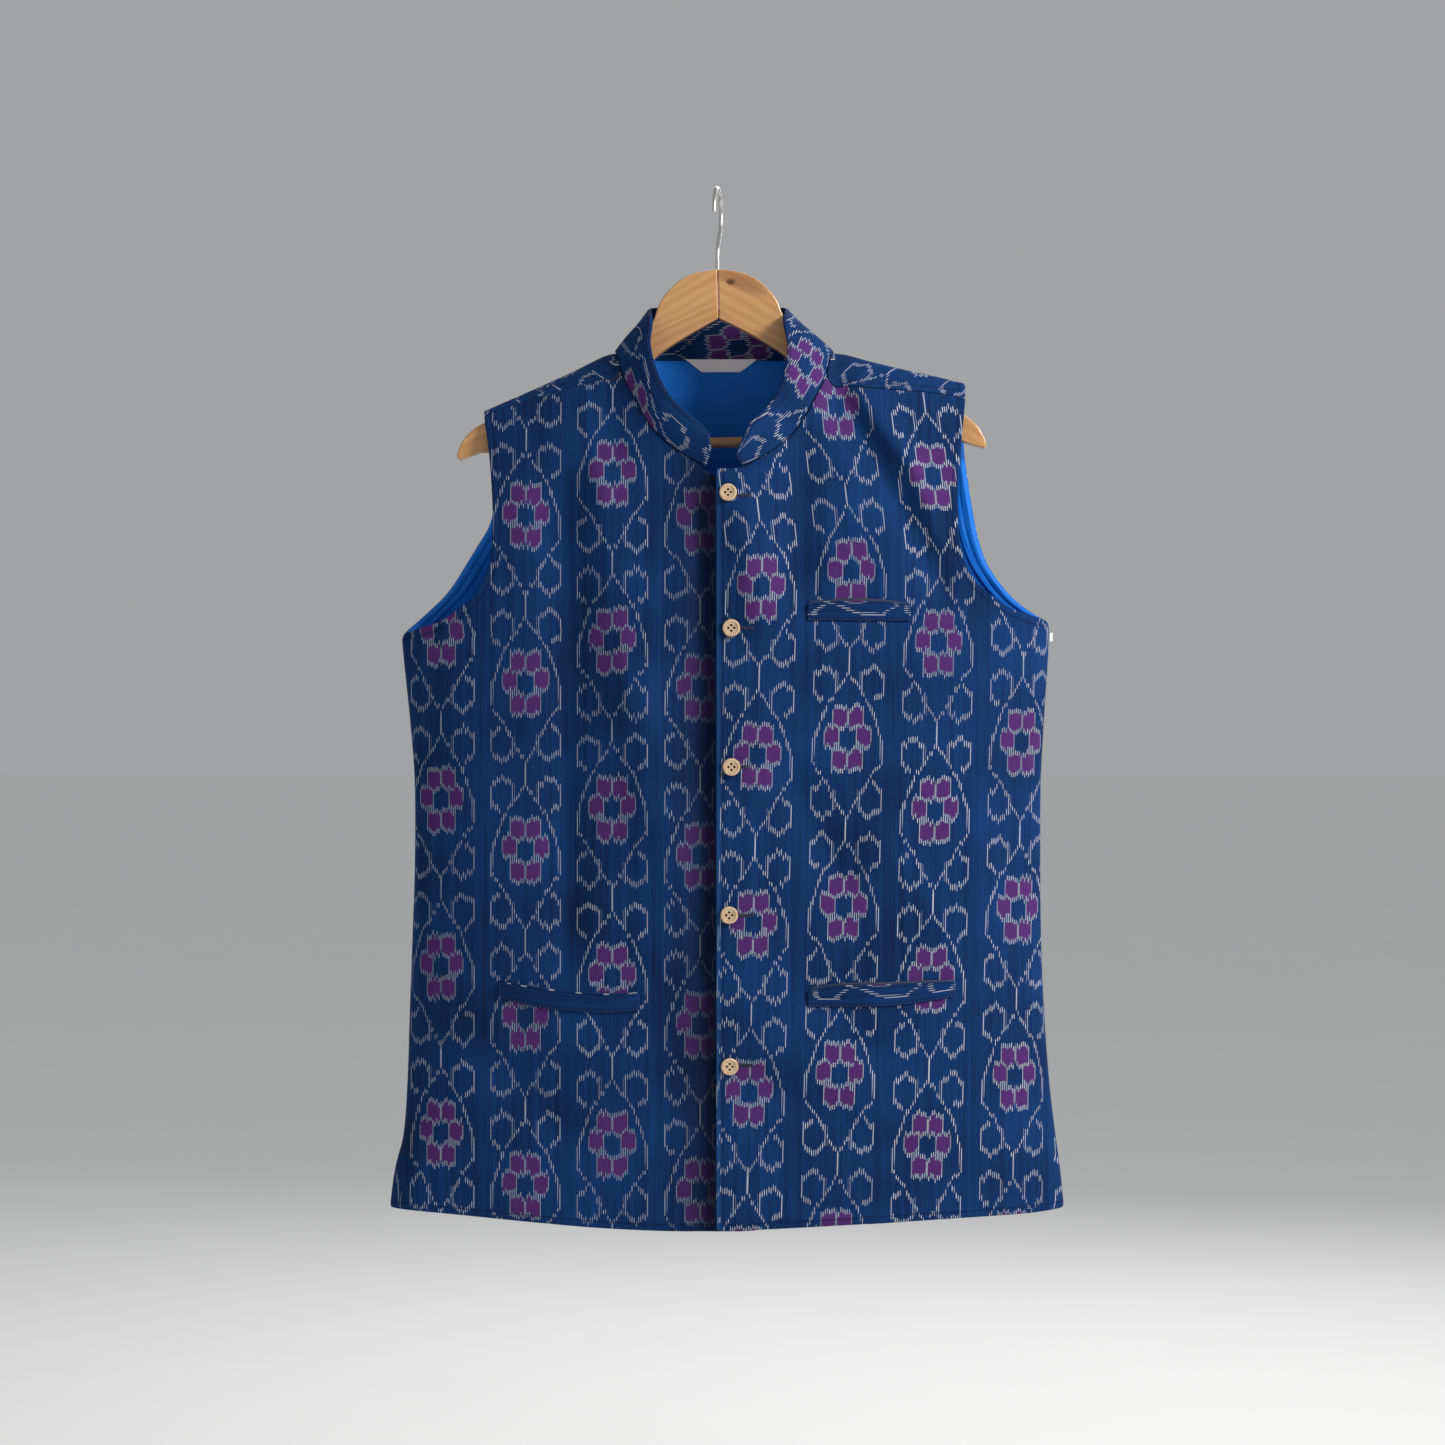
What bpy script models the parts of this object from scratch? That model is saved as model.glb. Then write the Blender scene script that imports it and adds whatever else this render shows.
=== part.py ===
"""A sleeveless Nehru jacket hanging on a wooden hanger, at its real size.

The objects are in metres with +Z up. The origin is the place inside the top of the hook where a rail bears.
The jacket's front faces -Y, and +X is the wearer's left. Tables and working sizes are in millimetres, and MM
turns them into metres when a mesh is made.

A point of the cloth is worked out from x and q. q is the signed square root of how far the point lies below the
shoulder ridge: above zero in front, below zero behind. Even steps of q are small steps near the ridge, where the
cloth turns over it.
"""

import math
from collections import namedtuple

import bmesh
import bpy
from mathutils import Matrix, Vector
from mathutils.bvhtree import BVHTree

MM = 0.001

# Driving sizes in millimetres. Heights are measured down from the hook's bearing point.
CENTRE = 5.8
NECK_HALF = 91.7
NECK_POINT = 136.0
ARMPIT_LEFT = 369.4
ARMPIT_RIGHT = 358.6
ARMPIT_FRONT = 364.0
HEM = 843.0
FRONT_DEPTH = 50.0
BACK_DEPTH = 42.0
RIDGE_RADIUS = 11.0
NECK_RISE = 190.0
SIDE_FULLNESS = 2.4
SIDE_GAP_POWER = 8
FOLD_SIDE_POWER = 6
FOLD_RIDGE_Q = 5.0

CLOTH = 1.6
COLLAR_CLOTH = 2.5
LINING_CLOTH = 1.0
WELT_CLOTH = 1.6
LABEL_CLOTH = 1.0
LINING_TOP_Q = -3.0
LINING_DROP = 0.8
SEAM_GAP = 0.5
SIDE_GAP = 1.1
LAID_GAP = 0.45
LINING_GAP = 0.8

TOP_EDGE = -1.2
UNDER_EDGE = 25.0
OVERLAP_LIFT = 1.05
OVERLAP_FADE = 34.0
TOP_NECK = 233.4
UNDER_NECK = 241.5
TOP_STRIP_DROP = (0.0, 0.2)
UNDER_STRIP_DROP = (4.5, 2.5)
TOP_NECK_DROP = 94.6
UNDER_NECK_BEND = ((17.5, 97.2), (26.0, 90.2))
SEAM_CLEARANCE = 4.0

VENT_LEFT = 783.0
VENT_RIGHT = 762.0
VENT_OPENING = 7.0
VENT_WIDTH = 60.0

COLUMNS = 12
LOWER_ROWS = 20
OPENING_ROWS = 5
NECKLINE_ROWS = 8
BACK_NECK_COLUMNS = 10
BACK_CROWD = 1.5
SIDE_CROWD = 1.3
SEAM_CROWD = 1.2
FLAP_ROWS = 2
WELD = 0.001

BUTTON_RADIUS = 7.3
BUTTON_THICK = 2.8
BUTTON_STEPS = 20

HOOK_WIRE = 1.65
HOOK_RADIUS = 20.6
HOOK_TURN = 8.0
HOOK_ROOT = 66.4
HANGER_TILT = 1.3
HANGER_THICK = 15.0
BAR_RADIUS = 4.5
BAR_BELOW = 209.6
BAR_HALF = 205.5
BAR_FIT = 0.35
BAR_END_GAP = 0.4
SOCKET_FIT = 0.6
SOCKET_BOTTOM = -14.0
SOCKET_TOP = 8.0
WOOD_ROUND = 4.2
HOOK_FOOT = 13.0
HOOK_STRAIGHT = 52.0
HOOK_START = -78.0
HOOK_END = 186.0
HOOK_STEPS = 26

SideRow = namedtuple("SideRow", "below left right")
SIDE_SEAM = (
    SideRow(358, 268.9, 269.2),
    SideRow(390, 266.0, 268.3),
    SideRow(440, 260.8, 265.0),
    SideRow(490, 257.0, 262.4),
    SideRow(560, 256.9, 262.0),
    SideRow(620, 258.8, 262.6),
    SideRow(680, 261.0, 265.0),
    SideRow(740, 263.0, 269.4),
    SideRow(785, 266.4, 274.6),
    SideRow(810, 272.8, 277.8),
    SideRow(HEM, 277.0, 281.0),
)

RidgeRow = namedtuple("RidgeRow", "out left right")
RIDGE = (
    RidgeRow(NECK_HALF, 0.0, 0.0),
    RidgeRow(100, 2.4, 0.8),
    RidgeRow(121, 13.0, 6.6),
    RidgeRow(149, 26.0, 13.4),
    RidgeRow(176, 38.0, 19.4),
    RidgeRow(200, 48.4, 25.2),
    RidgeRow(280, 82.0, 43.0),
)

HemRow = namedtuple("HemRow", "share left right back")
HEM_DROP = (
    HemRow(0.0, 16.0, 15.5, 5.0),
    HemRow(0.2, 15.4, 13.2, 5.0),
    HemRow(0.4, 12.8, 10.3, 4.0),
    HemRow(0.7, 6.2, 6.2, 2.0),
    HemRow(0.88, 2.4, 3.6, 0.8),
    HemRow(1.0, 0.0, 0.0, 0.0),
)

ArmholeRow = namedtuple("ArmholeRow", "inward up")
FRONT_ARMHOLE = (
    ArmholeRow(0, 0),
    ArmholeRow(15, 5),
    ArmholeRow(30, 9),
    ArmholeRow(45, 18),
    ArmholeRow(60, 30),
    ArmholeRow(69, 44),
    ArmholeRow(74.5, 61),
    ArmholeRow(76.5, 80),
    ArmholeRow(76.5, 108),
    ArmholeRow(73.5, 148),
)
BACK_ARMHOLE = {
    -1: (
        ArmholeRow(0, 0),
        ArmholeRow(18, 17),
        ArmholeRow(37, 36),
        ArmholeRow(53, 61),
        ArmholeRow(62, 76),
        ArmholeRow(71, 91),
        ArmholeRow(75, 108),
        ArmholeRow(75, 130),
        ArmholeRow(72, 155),
    ),
    1: (
        ArmholeRow(0, 0),
        ArmholeRow(16, 10),
        ArmholeRow(29, 21),
        ArmholeRow(40, 34),
        ArmholeRow(50, 50),
        ArmholeRow(57, 70),
        ArmholeRow(62, 95),
        ArmholeRow(67, 128),
        ArmholeRow(69.5, 152),
    ),
}
SHOULDER_END = 199.6

NeckRow = namedtuple("NeckRow", "out drop")
NECKLINE = (
    NeckRow(15.5, 97.0),
    NeckRow(22, 92.5),
    NeckRow(36, 84.5),
    NeckRow(51, 73),
    NeckRow(61, 62),
    NeckRow(70, 47),
    NeckRow(77, 34),
    NeckRow(86, 15),
)

SeamRow = namedtuple("SeamRow", "side tip neck neck_out neck_drop")
SHOULDER_SEAM = (
    SeamRow(-1, 3.0, 25.0, 85.2, 17.0),
    SeamRow(1, 12.0, 32.0, 83.9, 20.0),
)

CollarRow = namedtuple("CollarRow", "at inward up fore start")
COLLAR_STAND = (
    CollarRow(0.00, 1.0, 28.0, 7.0, 1.2),
    CollarRow(0.06, 8.0, 29.0, 7.0, 1.2),
    CollarRow(0.14, 11.0, 30.0, 7.0, 1.2),
    CollarRow(0.24, 14.0, 31.5, 6.0, 1.2),
    CollarRow(0.34, 20.0, 29.5, 6.0, 1.5),
    CollarRow(0.44, 28.0, 26.5, 8.0, 2.3),
    CollarRow(0.54, 36.0, 29.5, 8.0, 2.4),
    CollarRow(0.59, 35.5, 34.5, 7.0, 2.4),
    CollarRow(0.65, 26.2, 39.5, 3.0, 1.8),
    CollarRow(0.74, 17.0, 41.5, 3.0, 1.2),
    CollarRow(0.84, 8.0, 41.5, 3.0, 0.8),
    CollarRow(1.00, 0.0, 41.0, 3.0, 0.7),
)
COLLAR_ROWS = 4
COLLAR_SHIFT = -5.5
COLLAR_SHIFTED = 0.6
COLLAR_BOW = 2.2
COLLAR_END_DROP = 1.5
COLLAR_END_REACH = 9.0
COLLAR_END_ROUND = 5.0
COLLAR_CORNER = 3.0
COLLAR_FALL = (-2.5, 0.0, -15.0)
COLLAR_FALL_REACH = 20.0

FoldRow = namedtuple("FoldRow", "face x0 below0 x1 below1 half_width height")
FOLDS = (
    FoldRow("front", -124, 250, -124, 640, 17, -4.5),
    FoldRow("front", -98, 250, -66, 424, 24, 4.5),
    FoldRow("front", -66, 424, -40, 560, 26, 5.0),
    FoldRow("front", -182, 726, -126, 776, 13, -2.0),
    FoldRow("front", -215, 420, -196, 610, 24, 2.5),
    FoldRow("front", 10, 262, 42, 352, 22, 3.0),
    FoldRow("front", 70, 212, 66, 318, 16, -4.0),
    FoldRow("front", 104, 176, 184, 330, 13, -4.0),
    FoldRow("front", 122, 172, 176, 262, 13, 3.0),
    FoldRow("front", 60, 486, 98, 566, 16, -3.0),
    FoldRow("front", 84, 670, 134, 712, 17, -2.5),
    FoldRow("front", 12, 728, 146, 792, 15, -2.5),
    FoldRow("front", 214, 545, 216, 590, 26, 4.0),
    FoldRow("front", 246, 462, 246, 548, 13, -2.5),
    FoldRow("back", -120, 300, -150, 620, 24, -5.0),
    FoldRow("back", -60, 240, -72, 520, 30, 5.0),
    FoldRow("back", 40, 260, 22, 700, 26, -4.5),
    FoldRow("back", 112, 250, 134, 560, 26, 5.0),
    FoldRow("back", 168, 300, 188, 680, 20, -4.0),
    FoldRow("back", -30, 640, 120, 770, 20, 3.0),
    FoldRow("back", -200, 440, -176, 700, 22, 3.5),
)

WeltRow = namedtuple("WeltRow", "share top bottom")
WELT_BREAST = (WeltRow(0.0, 343.8, 358.6), WeltRow(0.5, 341.8, 358.9), WeltRow(1.0, 344.4, 358.9))
WELT_LEFT = (
    WeltRow(0.0, 654.6, 667.5),
    WeltRow(0.25, 661.0, 674.9),
    WeltRow(0.55, 665.2, 679.2),
    WeltRow(0.8, 666.0, 679.8),
    WeltRow(1.0, 663.0, 678.2),
)
WELT_RIGHT = (
    WeltRow(0.0, 660.4, 675.7),
    WeltRow(0.2, 657.2, 675.2),
    WeltRow(0.6, 656.2, 674.0),
    WeltRow(1.0, 653.8, 667.8),
)
WeltSpan = namedtuple("WeltSpan", "name side start end rows")
WELTS = (
    WeltSpan("welt_breast", 1, 73.3, 158.5, WELT_BREAST),
    WeltSpan("welt_left", -1, -179.6, -63.4, WELT_LEFT),
    WeltSpan("welt_right", 1, 73.3, 195.3, WELT_RIGHT),
)
WELT_COLUMNS = 10
WELT_ROWS = 2
WELT_LIFT = 1.3

ButtonRow = namedtuple("ButtonRow", "x below")
BUTTONS = (
    ButtonRow(8.8, 254.1),
    ButtonRow(11.4, 364.6),
    ButtonRow(11.4, 478.4),
    ButtonRow(9.6, 599.6),
    ButtonRow(9.9, 723.2),
)

LABEL_TOP = 137.4
LABEL_HEIGHT = 11.0
LABEL_CENTRE = 3.0
LABEL_WIDE = 30.8
LABEL_NARROW = 16.2
LABEL_COLUMNS = 8
LABEL_ROWS = 2
SIDE_LABEL_WIDTH = 2.4
SIDE_LABEL_THICK = 0.8
SIDE_LABEL_HEIGHT = 7.0
SIDE_LABEL_BELOW = 371.0

# The right half of the wood, out from the joint and down from the bearing point.
WoodRow = namedtuple("WoodRow", "out below")
WOOD_TOP = (
    WoodRow(0.15, 66.2),
    WoodRow(18, 68.8),
    WoodRow(31, 74.5),
    WoodRow(42, 84),
    WoodRow(49, 94),
    WoodRow(53.3, 105.2),
    WoodRow(58.8, 113.4),
    WoodRow(66, 119),
    WoodRow(72, 124),
    WoodRow(80, 136.6),
    WoodRow(88, 143.2),
    WoodRow(96, 145.4),
    WoodRow(110, 147.6),
    WoodRow(130, 157),
    WoodRow(150, 166.6),
    WoodRow(197, 189.6),
    WoodRow(206, 195.0),
    WoodRow(213.5, 202.4),
    WoodRow(218.4, 211.8),
    WoodRow(219.4, 216.6),
)
WOOD_UNDER = (
    WoodRow(218.4, 219.6),
    WoodRow(210, 217.4),
    WoodRow(197, 212.4),
    WoodRow(160, 197.5),
    WoodRow(120, 178.5),
    WoodRow(81, 158.5),
    WoodRow(62, 146),
    WoodRow(48, 134.5),
    WoodRow(28, 122),
    WoodRow(10, 112.2),
    WoodRow(0.15, 107.2),
)

Finish = namedtuple("Finish", "colour roughness metallic")
IKAT = Finish((0.035, 0.05, 0.22), 0.85, 0.0)
LINING = Finish((0.05, 0.22, 0.55), 0.45, 0.0)
LABEL = Finish((0.85, 0.85, 0.86), 0.6, 0.0)
BUTTON = Finish((0.72, 0.58, 0.40), 0.45, 0.0)
WOOD = Finish((0.55, 0.27, 0.11), 0.35, 0.0)
STEEL = Finish((0.62, 0.62, 0.60), 0.3, 1.0)


def clear_scene():
    """Removes the objects of the scene that this script starts in."""
    for old in list(bpy.data.objects):
        bpy.data.objects.remove(old, do_unlink=True)


def make_collection(name):
    group = bpy.data.collections.new(name)
    bpy.context.scene.collection.children.link(group)
    return group


def make_material(name, finish):
    material = bpy.data.materials.new(name)
    material.use_nodes = True
    shader = material.node_tree.nodes["Principled BSDF"]
    shader.inputs["Base Color"].default_value = (*finish.colour, 1.0)
    shader.inputs["Roughness"].default_value = finish.roughness
    shader.inputs["Metallic"].default_value = finish.metallic
    return material


def blend(a, b, t):
    return a + (b - a) * t


def ease(t):
    t = min(max(t, 0.0), 1.0)
    return t * t * (3 - 2 * t)


def read_table(rows, column, at):
    """A smooth curve through a column of a table, whose first column holds the places."""
    places = [row[0] for row in rows]
    values = [getattr(row, column) for row in rows]
    i = 0
    while i < len(rows) - 2 and at > places[i + 1]:
        i += 1
    span = places[i + 1] - places[i]
    t = min(max((at - places[i]) / span, 0.0), 1.0)

    def slope(k):
        low, high = max(k - 1, 0), min(k + 1, len(rows) - 1)
        return (values[high] - values[low]) / (places[high] - places[low])

    a, b = values[i], values[i + 1]
    return (
        (2 * t**3 - 3 * t**2 + 1) * a
        + (t**3 - 2 * t**2 + t) * span * slope(i)
        + (3 * t**2 - 2 * t**3) * b
        + (t**3 - t**2) * span * slope(i + 1)
    )


def through(points, steps=8):
    """A close polyline on the smooth curve through some points of the plane."""
    ends = [points[0], *points, points[-1]]
    line = []
    for a, b, c, d in zip(ends, ends[1:], ends[2:], ends[3:]):
        for k in range(steps):
            t = k / steps
            line.append(tuple(
                0.5 * (2 * q + (r - p) * t + (2 * p - 5 * q + 4 * r - s) * t * t
                       + (3 * q - p - 3 * r + s) * t**3)
                for p, q, r, s in zip(a, b, c, d)
            ))
    line.append(tuple(points[-1]))
    return line


def evenly(points, count, crowd=1.0):
    """count + 1 points along the smooth curve through some points. A crowd over 1 draws them to its far end."""
    line = through(points)
    lengths = [0.0]
    for a, b in zip(line, line[1:]):
        lengths.append(lengths[-1] + math.dist(a, b))
    found = []
    i = 0
    for k in range(count + 1):
        goal = lengths[-1] * (1 - (1 - k / count) ** crowd)
        while i < len(line) - 2 and lengths[i + 1] < goal:
            i += 1
        t = (goal - lengths[i]) / max(lengths[i + 1] - lengths[i], 1e-9)
        found.append(tuple(blend(p, q, t) for p, q in zip(line[i], line[i + 1])))
    found[-1] = tuple(points[-1])
    return found


def side_name(side):
    return "left" if side < 0 else "right"


def armpit(side):
    return ARMPIT_LEFT if side < 0 else ARMPIT_RIGHT


def half_width(side, below):
    return read_table(SIDE_SEAM, side_name(side), max(below, SIDE_SEAM[0].below))


def ridge_below(x):
    """How far under the bearing point the shoulder ridge runs at x. Over the neck it rises, out of the cloth."""
    out = abs(x - CENTRE)
    if out < NECK_HALF:
        return NECK_POINT - NECK_RISE * (1 - (out / NECK_HALF) ** 2) ** 1.5
    return NECK_POINT + read_table(RIDGE, side_name(x - CENTRE), out)


def q_at(x, below, face):
    depth = math.sqrt(max(below - ridge_below(x), 0.0))
    return depth if face == "front" else -depth


def relief(face, x, below):
    """How far the folds push the cloth out at a place."""
    total = 0.0
    for fold in FOLDS:
        if fold.face != face:
            continue
        run = (fold.x1 - fold.x0, fold.below1 - fold.below0)
        length = run[0] ** 2 + run[1] ** 2
        t = ((x - fold.x0) * run[0] + (below - fold.below0) * run[1]) / length
        t = min(max(t, 0.0), 1.0)
        away = math.dist((x, below), (fold.x0 + run[0] * t, fold.below0 + run[1] * t))
        total += fold.height * math.exp(-((away / fold.half_width) ** 2))
    return total


def vent(side, share, below):
    """How far a vent's edge stands away from the seam's line."""
    top = VENT_LEFT if side < 0 else VENT_RIGHT
    down = ease((below - top) / (HEM - top))
    across = ease((share - 1) * half_width(side, below) / VENT_WIDTH + 1)
    return VENT_OPENING * down * across


def place(x, q):
    """The point of the cloth's middle surface at x and q."""
    front = q > 0
    below = ridge_below(x) + q * q
    side = -1 if x < CENTRE else 1
    share = min(abs(x - CENTRE) / half_width(side, below), 1.0)
    most = FRONT_DEPTH if front else BACK_DEPTH
    ease_in = most * most / (2 * RIDGE_RADIUS)
    fullness = math.sqrt(max(1 - share**SIDE_FULLNESS, 0.0))
    depth = most * fullness * abs(q) / math.sqrt(q * q + ease_in)
    near_ridge = ease(abs(q) / FOLD_RIDGE_Q)
    depth += relief("front" if front else "back", x, below) * (1 - share**FOLD_SIDE_POWER) * near_ridge
    depth += vent(side, share, below)
    depth += 0.5 * SIDE_GAP * share**SIDE_GAP_POWER
    return Vector((x, -depth if front else depth, -below))


def coons(bottom, top, outer, inner):
    """Rows of points that fill four edges. Every edge is a list of (x, below)."""
    rows = []
    columns = len(bottom) - 1
    last = len(outer) - 1
    for i in range(last + 1):
        s = i / last
        row = []
        for j in range(columns + 1):
            u = j / columns
            point = []
            for k in range(2):
                across = blend(outer[i][k], inner[i][k], u)
                along = blend(bottom[j][k], top[j][k], s)
                corners = blend(
                    blend(bottom[0][k], bottom[-1][k], u), blend(top[0][k], top[-1][k], u), s
                )
                point.append(across + along - corners)
            row.append(tuple(point))
        rows.append(row)
    return rows


def with_q(rows, face):
    """Rows of (x, below) as (x, q)."""
    return [[(x, q_at(x, below, face)) for x, below in row] for row in rows]


def shoulder_seam(side):
    """(x, q) along the shoulder seam, from the armhole to the neckline. It lies in front of the ridge."""
    row = SHOULDER_SEAM[0] if side < 0 else SHOULDER_SEAM[1]
    points = []
    for k in range(COLUMNS + 1):
        t = k / COLUMNS
        x = CENTRE + side * blend(SHOULDER_END, row.neck_out, t)
        points.append((x, blend(math.sqrt(row.tip), math.sqrt(row.neck), t**SEAM_CROWD)))
    neck_x = CENTRE + side * row.neck_out
    points[-1] = (neck_x, q_at(neck_x, NECK_POINT + row.neck_drop, "front"))
    return points


def front_neckline(side):
    """(x, below) from the front opening up to the shoulder seam."""
    row = SHOULDER_SEAM[0] if side < 0 else SHOULDER_SEAM[1]
    points = [
        (CENTRE + side * neck.out, NECK_POINT + neck.drop)
        for neck in NECKLINE
        if neck.drop > row.neck_drop + SEAM_CLEARANCE
    ]
    if side > 0:
        points[0] = (UNDER_EDGE, NECK_POINT + TOP_NECK_DROP)
        del points[1]
    else:
        bend = [(CENTRE - out, NECK_POINT + drop) for out, drop in UNDER_NECK_BEND]
        points[0:2] = [(TOP_EDGE, UNDER_NECK), *bend]
    points.append((CENTRE + side * row.neck_out, NECK_POINT + row.neck_drop))
    return evenly(points, NECKLINE_ROWS)


def armhole(side, rows, top_below, crowd=1.0):
    """(x, below) from the armpit up to the end of the shoulder."""
    low = armpit(side)
    edge = half_width(side, low)
    points = [(CENTRE + side * (edge - row.inward), low - row.up) for row in rows]
    points.append((CENTRE + side * SHOULDER_END, top_below))
    return evenly(points, OPENING_ROWS + NECKLINE_ROWS, crowd)


def side_share(j, columns=COLUMNS):
    """Columns lie closer together near the side, where the cloth turns."""
    return 1 - (j / columns) ** SIDE_CROWD


def seam_stations():
    """Shares of the way from the hem up to the armpit."""
    return [i / LOWER_ROWS for i in range(LOWER_ROWS + 1)]


def lower_below(side, share, x_share, hem_column):
    """The height of a row of the skirt: share is how far it is from hem to armpit, x_share how far out it is."""
    low = HEM + read_table(HEM_DROP, hem_column, x_share)
    high = blend(ARMPIT_FRONT, armpit(side), ease(x_share))
    return blend(low, high, share)


def front_panel_points(side):
    """The main rows of a front and the rows of its overlap strip, as (x, q)."""
    inner_x = UNDER_EDGE if side > 0 else TOP_EDGE
    rows = []
    for share in seam_stations():
        row = []
        level = lower_below(side, share, 1.0, side_name(side))
        edge = CENTRE + side * half_width(side, level)
        for j in range(COLUMNS + 1):
            x = blend(inner_x, edge, side_share(j))
            x_share = min(abs(x - CENTRE) / abs(edge - CENTRE), 1.0) if j < COLUMNS else 0.0
            row.append((x, lower_below(side, share, x_share, side_name(side))))
        rows.append(row)
    neckline = front_neckline(side)
    inner = [
        (inner_x, blend(ARMPIT_FRONT, neckline[0][1], k / OPENING_ROWS)) for k in range(OPENING_ROWS)
    ] + neckline
    top = [(x, ridge_below(x) + q * q) for x, q in shoulder_seam(side)]
    rows += coons(rows[-1], top, armhole(side, FRONT_ARMHOLE, top[0][1]), inner)[1:]
    rows = with_q(rows, "front")
    outer_x = TOP_EDGE if side > 0 else UNDER_EDGE
    corner, drops = (TOP_NECK, TOP_STRIP_DROP) if side > 0 else (UNDER_NECK, UNDER_STRIP_DROP)
    strip = []
    for i in range(LOWER_ROWS + OPENING_ROWS + 1):
        x0, q0 = rows[i][-1]
        below = ridge_below(x0) + q0 * q0
        if i == LOWER_ROWS + OPENING_ROWS:
            marks = ((outer_x, corner + drops[0]), (0.5 * (outer_x + inner_x), corner + drops[1]))
        else:
            marks = ((outer_x, below), (0.5 * (outer_x + inner_x), below))
        strip.append([(x, q_at(x, level, "front")) for x, level in reversed(marks)])
    return rows, strip


def overlap_lift(side, x):
    """The wearer's left front lies over the right one, and both give way to each other."""
    if side > 0:
        fade = 1 - ease((x - UNDER_EDGE) / OVERLAP_FADE)
    else:
        fade = 1 - ease((TOP_EDGE - x) / OVERLAP_FADE)
    return OVERLAP_LIFT * fade * (1 if side > 0 else -1)


def front_point(side, x, q):
    point = place(x, q)
    point.y -= overlap_lift(side, x)
    return point


def mesh_object(name, patches, flip=False):
    """An object from patches, each rows of points in millimetres. Patches are joined where their points meet."""
    mesh = bmesh.new()
    for rows in patches:
        grid = [[mesh.verts.new(point * MM) for point in row] for row in rows]
        for low, high in zip(grid, grid[1:]):
            for a, b, c, d in zip(low, low[1:], high[1:], high):
                mesh.faces.new((d, c, b, a) if flip else (a, b, c, d))
    bmesh.ops.remove_doubles(mesh, verts=mesh.verts[:], dist=WELD * MM)
    bmesh.ops.triangulate(mesh, faces=mesh.faces[:])
    data = bpy.data.meshes.new(name)
    mesh.to_mesh(data)
    mesh.free()
    return bpy.data.objects.new(name, data)


def thicken(obj, thickness):
    wall = obj.modifiers.new("wall", "SOLIDIFY")
    wall.thickness = thickness * MM
    wall.offset = 0.0
    wall.use_even_offset = False
    return obj


def finish_object(obj, group, material, smooth=True):
    group.objects.link(obj)
    obj.data.materials.append(material)
    if smooth and obj.type == "MESH":
        obj.data.shade_smooth()
    return obj


def front_panel(side, group, material):
    rows, strip = front_panel_points(side)
    rows = [[front_point(side, x, q) for x, q in row] for row in rows]
    strip = [[front_point(side, x, q) for x, q in row] for row in strip]
    strip = [[row[-1], *more] for row, more in zip(rows, strip)]
    obj = mesh_object(f"front_{side_name(side)}", [rows, strip], flip=side > 0)
    return finish_object(thicken(obj, CLOTH), group, material)


def back_neckline(side):
    """(x, below) from the neck point to the middle of the back."""
    half = BACK_NECK_COLUMNS // 2
    points = []
    for k in range(half + 1):
        x = CENTRE + side * NECK_HALF * math.cos(0.5 * math.pi * k / half)
        points.append((x, NECK_POINT))
    return points


def shoulder_ridge(side):
    """(x, below) along the ridge, from the armhole to the neck point."""
    points = []
    for k in range(COLUMNS + 1):
        x = CENTRE + side * blend(SHOULDER_END, NECK_HALF, k / COLUMNS)
        points.append((x, ridge_below(x)))
    return points


def back_points():
    """Rows of (x, q) behind the ridge, from the wearer's right side to the left one."""
    rows = []
    columns = COLUMNS + BACK_NECK_COLUMNS // 2
    shares = [side_share(j, columns) for j in range(columns)]
    for share in seam_stations():
        row = []
        for side in (-1, 1):
            half = []
            for x_share in shares + ([0.0] if side < 0 else []):
                below = lower_below(side, share, x_share, "back")
                half.append((CENTRE + side * half_width(side, below) * x_share, below))
            row += half if side < 0 else half[::-1]
        rows.append(row)
    left, right = back_neckline(-1), back_neckline(1)
    top = shoulder_ridge(-1)[:-1] + left + right[::-1][1:] + shoulder_ridge(1)[::-1][1:]
    sides = [
        armhole(side, BACK_ARMHOLE[side], ridge_below(CENTRE + side * SHOULDER_END), BACK_CROWD)
        for side in (-1, 1)
    ]
    rows += coons(rows[-1], top, *sides)[1:]
    return with_q(rows, "back")


def shoulder_flap(side):
    """Rows of (x, q) where the back turns over the ridge and comes down in front to the shoulder seam."""
    ridge = [(x, 0.0) for x, _ in shoulder_ridge(side)]
    seam = shoulder_seam(side)
    rows = []
    for k in range(FLAP_ROWS + 1):
        t = k / FLAP_ROWS
        rows.append([tuple(blend(p, q, t) for p, q in zip(a, b)) for a, b in zip(ridge, seam)])
    return rows


def back_panel(group, material):
    """The back. Its edges at the shoulder seams stop SEAM_GAP short of the fronts'."""
    patches = [[[place(x, q) for x, q in row] for row in back_points()]]
    for side in (-1, 1):
        rows = [[place(x, q) for x, q in row] for row in shoulder_flap(side)]
        for j, point in enumerate(rows[-1]):
            reach = rows[-2][j] - point
            rows[-1][j] = point + reach * (SEAM_GAP / max(reach.length, SEAM_GAP))
        patches.append([row[::-side] for row in rows])
    obj = mesh_object("back", patches, flip=True)
    return finish_object(thicken(obj, CLOTH), group, material)


def lining_points():
    """The back's (x, q), drawn in from every edge. Its top edge stops behind the ridge and under the collar."""
    rows = back_points()[1:]
    first = LOWER_ROWS - 1
    drawn = [list(row) for row in rows[: first + 1]]
    for row in rows[first + 1:]:
        line = []
        for j, (x, q) in enumerate(row):
            low, high = rows[first][j][1], rows[-1][j][1]
            goal = min(high, LINING_TOP_Q)
            goal = -math.sqrt(goal * goal + LINING_DROP)
            line.append((x, low + (q - low) * (goal - low) / (high - low)))
        drawn.append(line)
    return [row[1:-1] for row in drawn]


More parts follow.
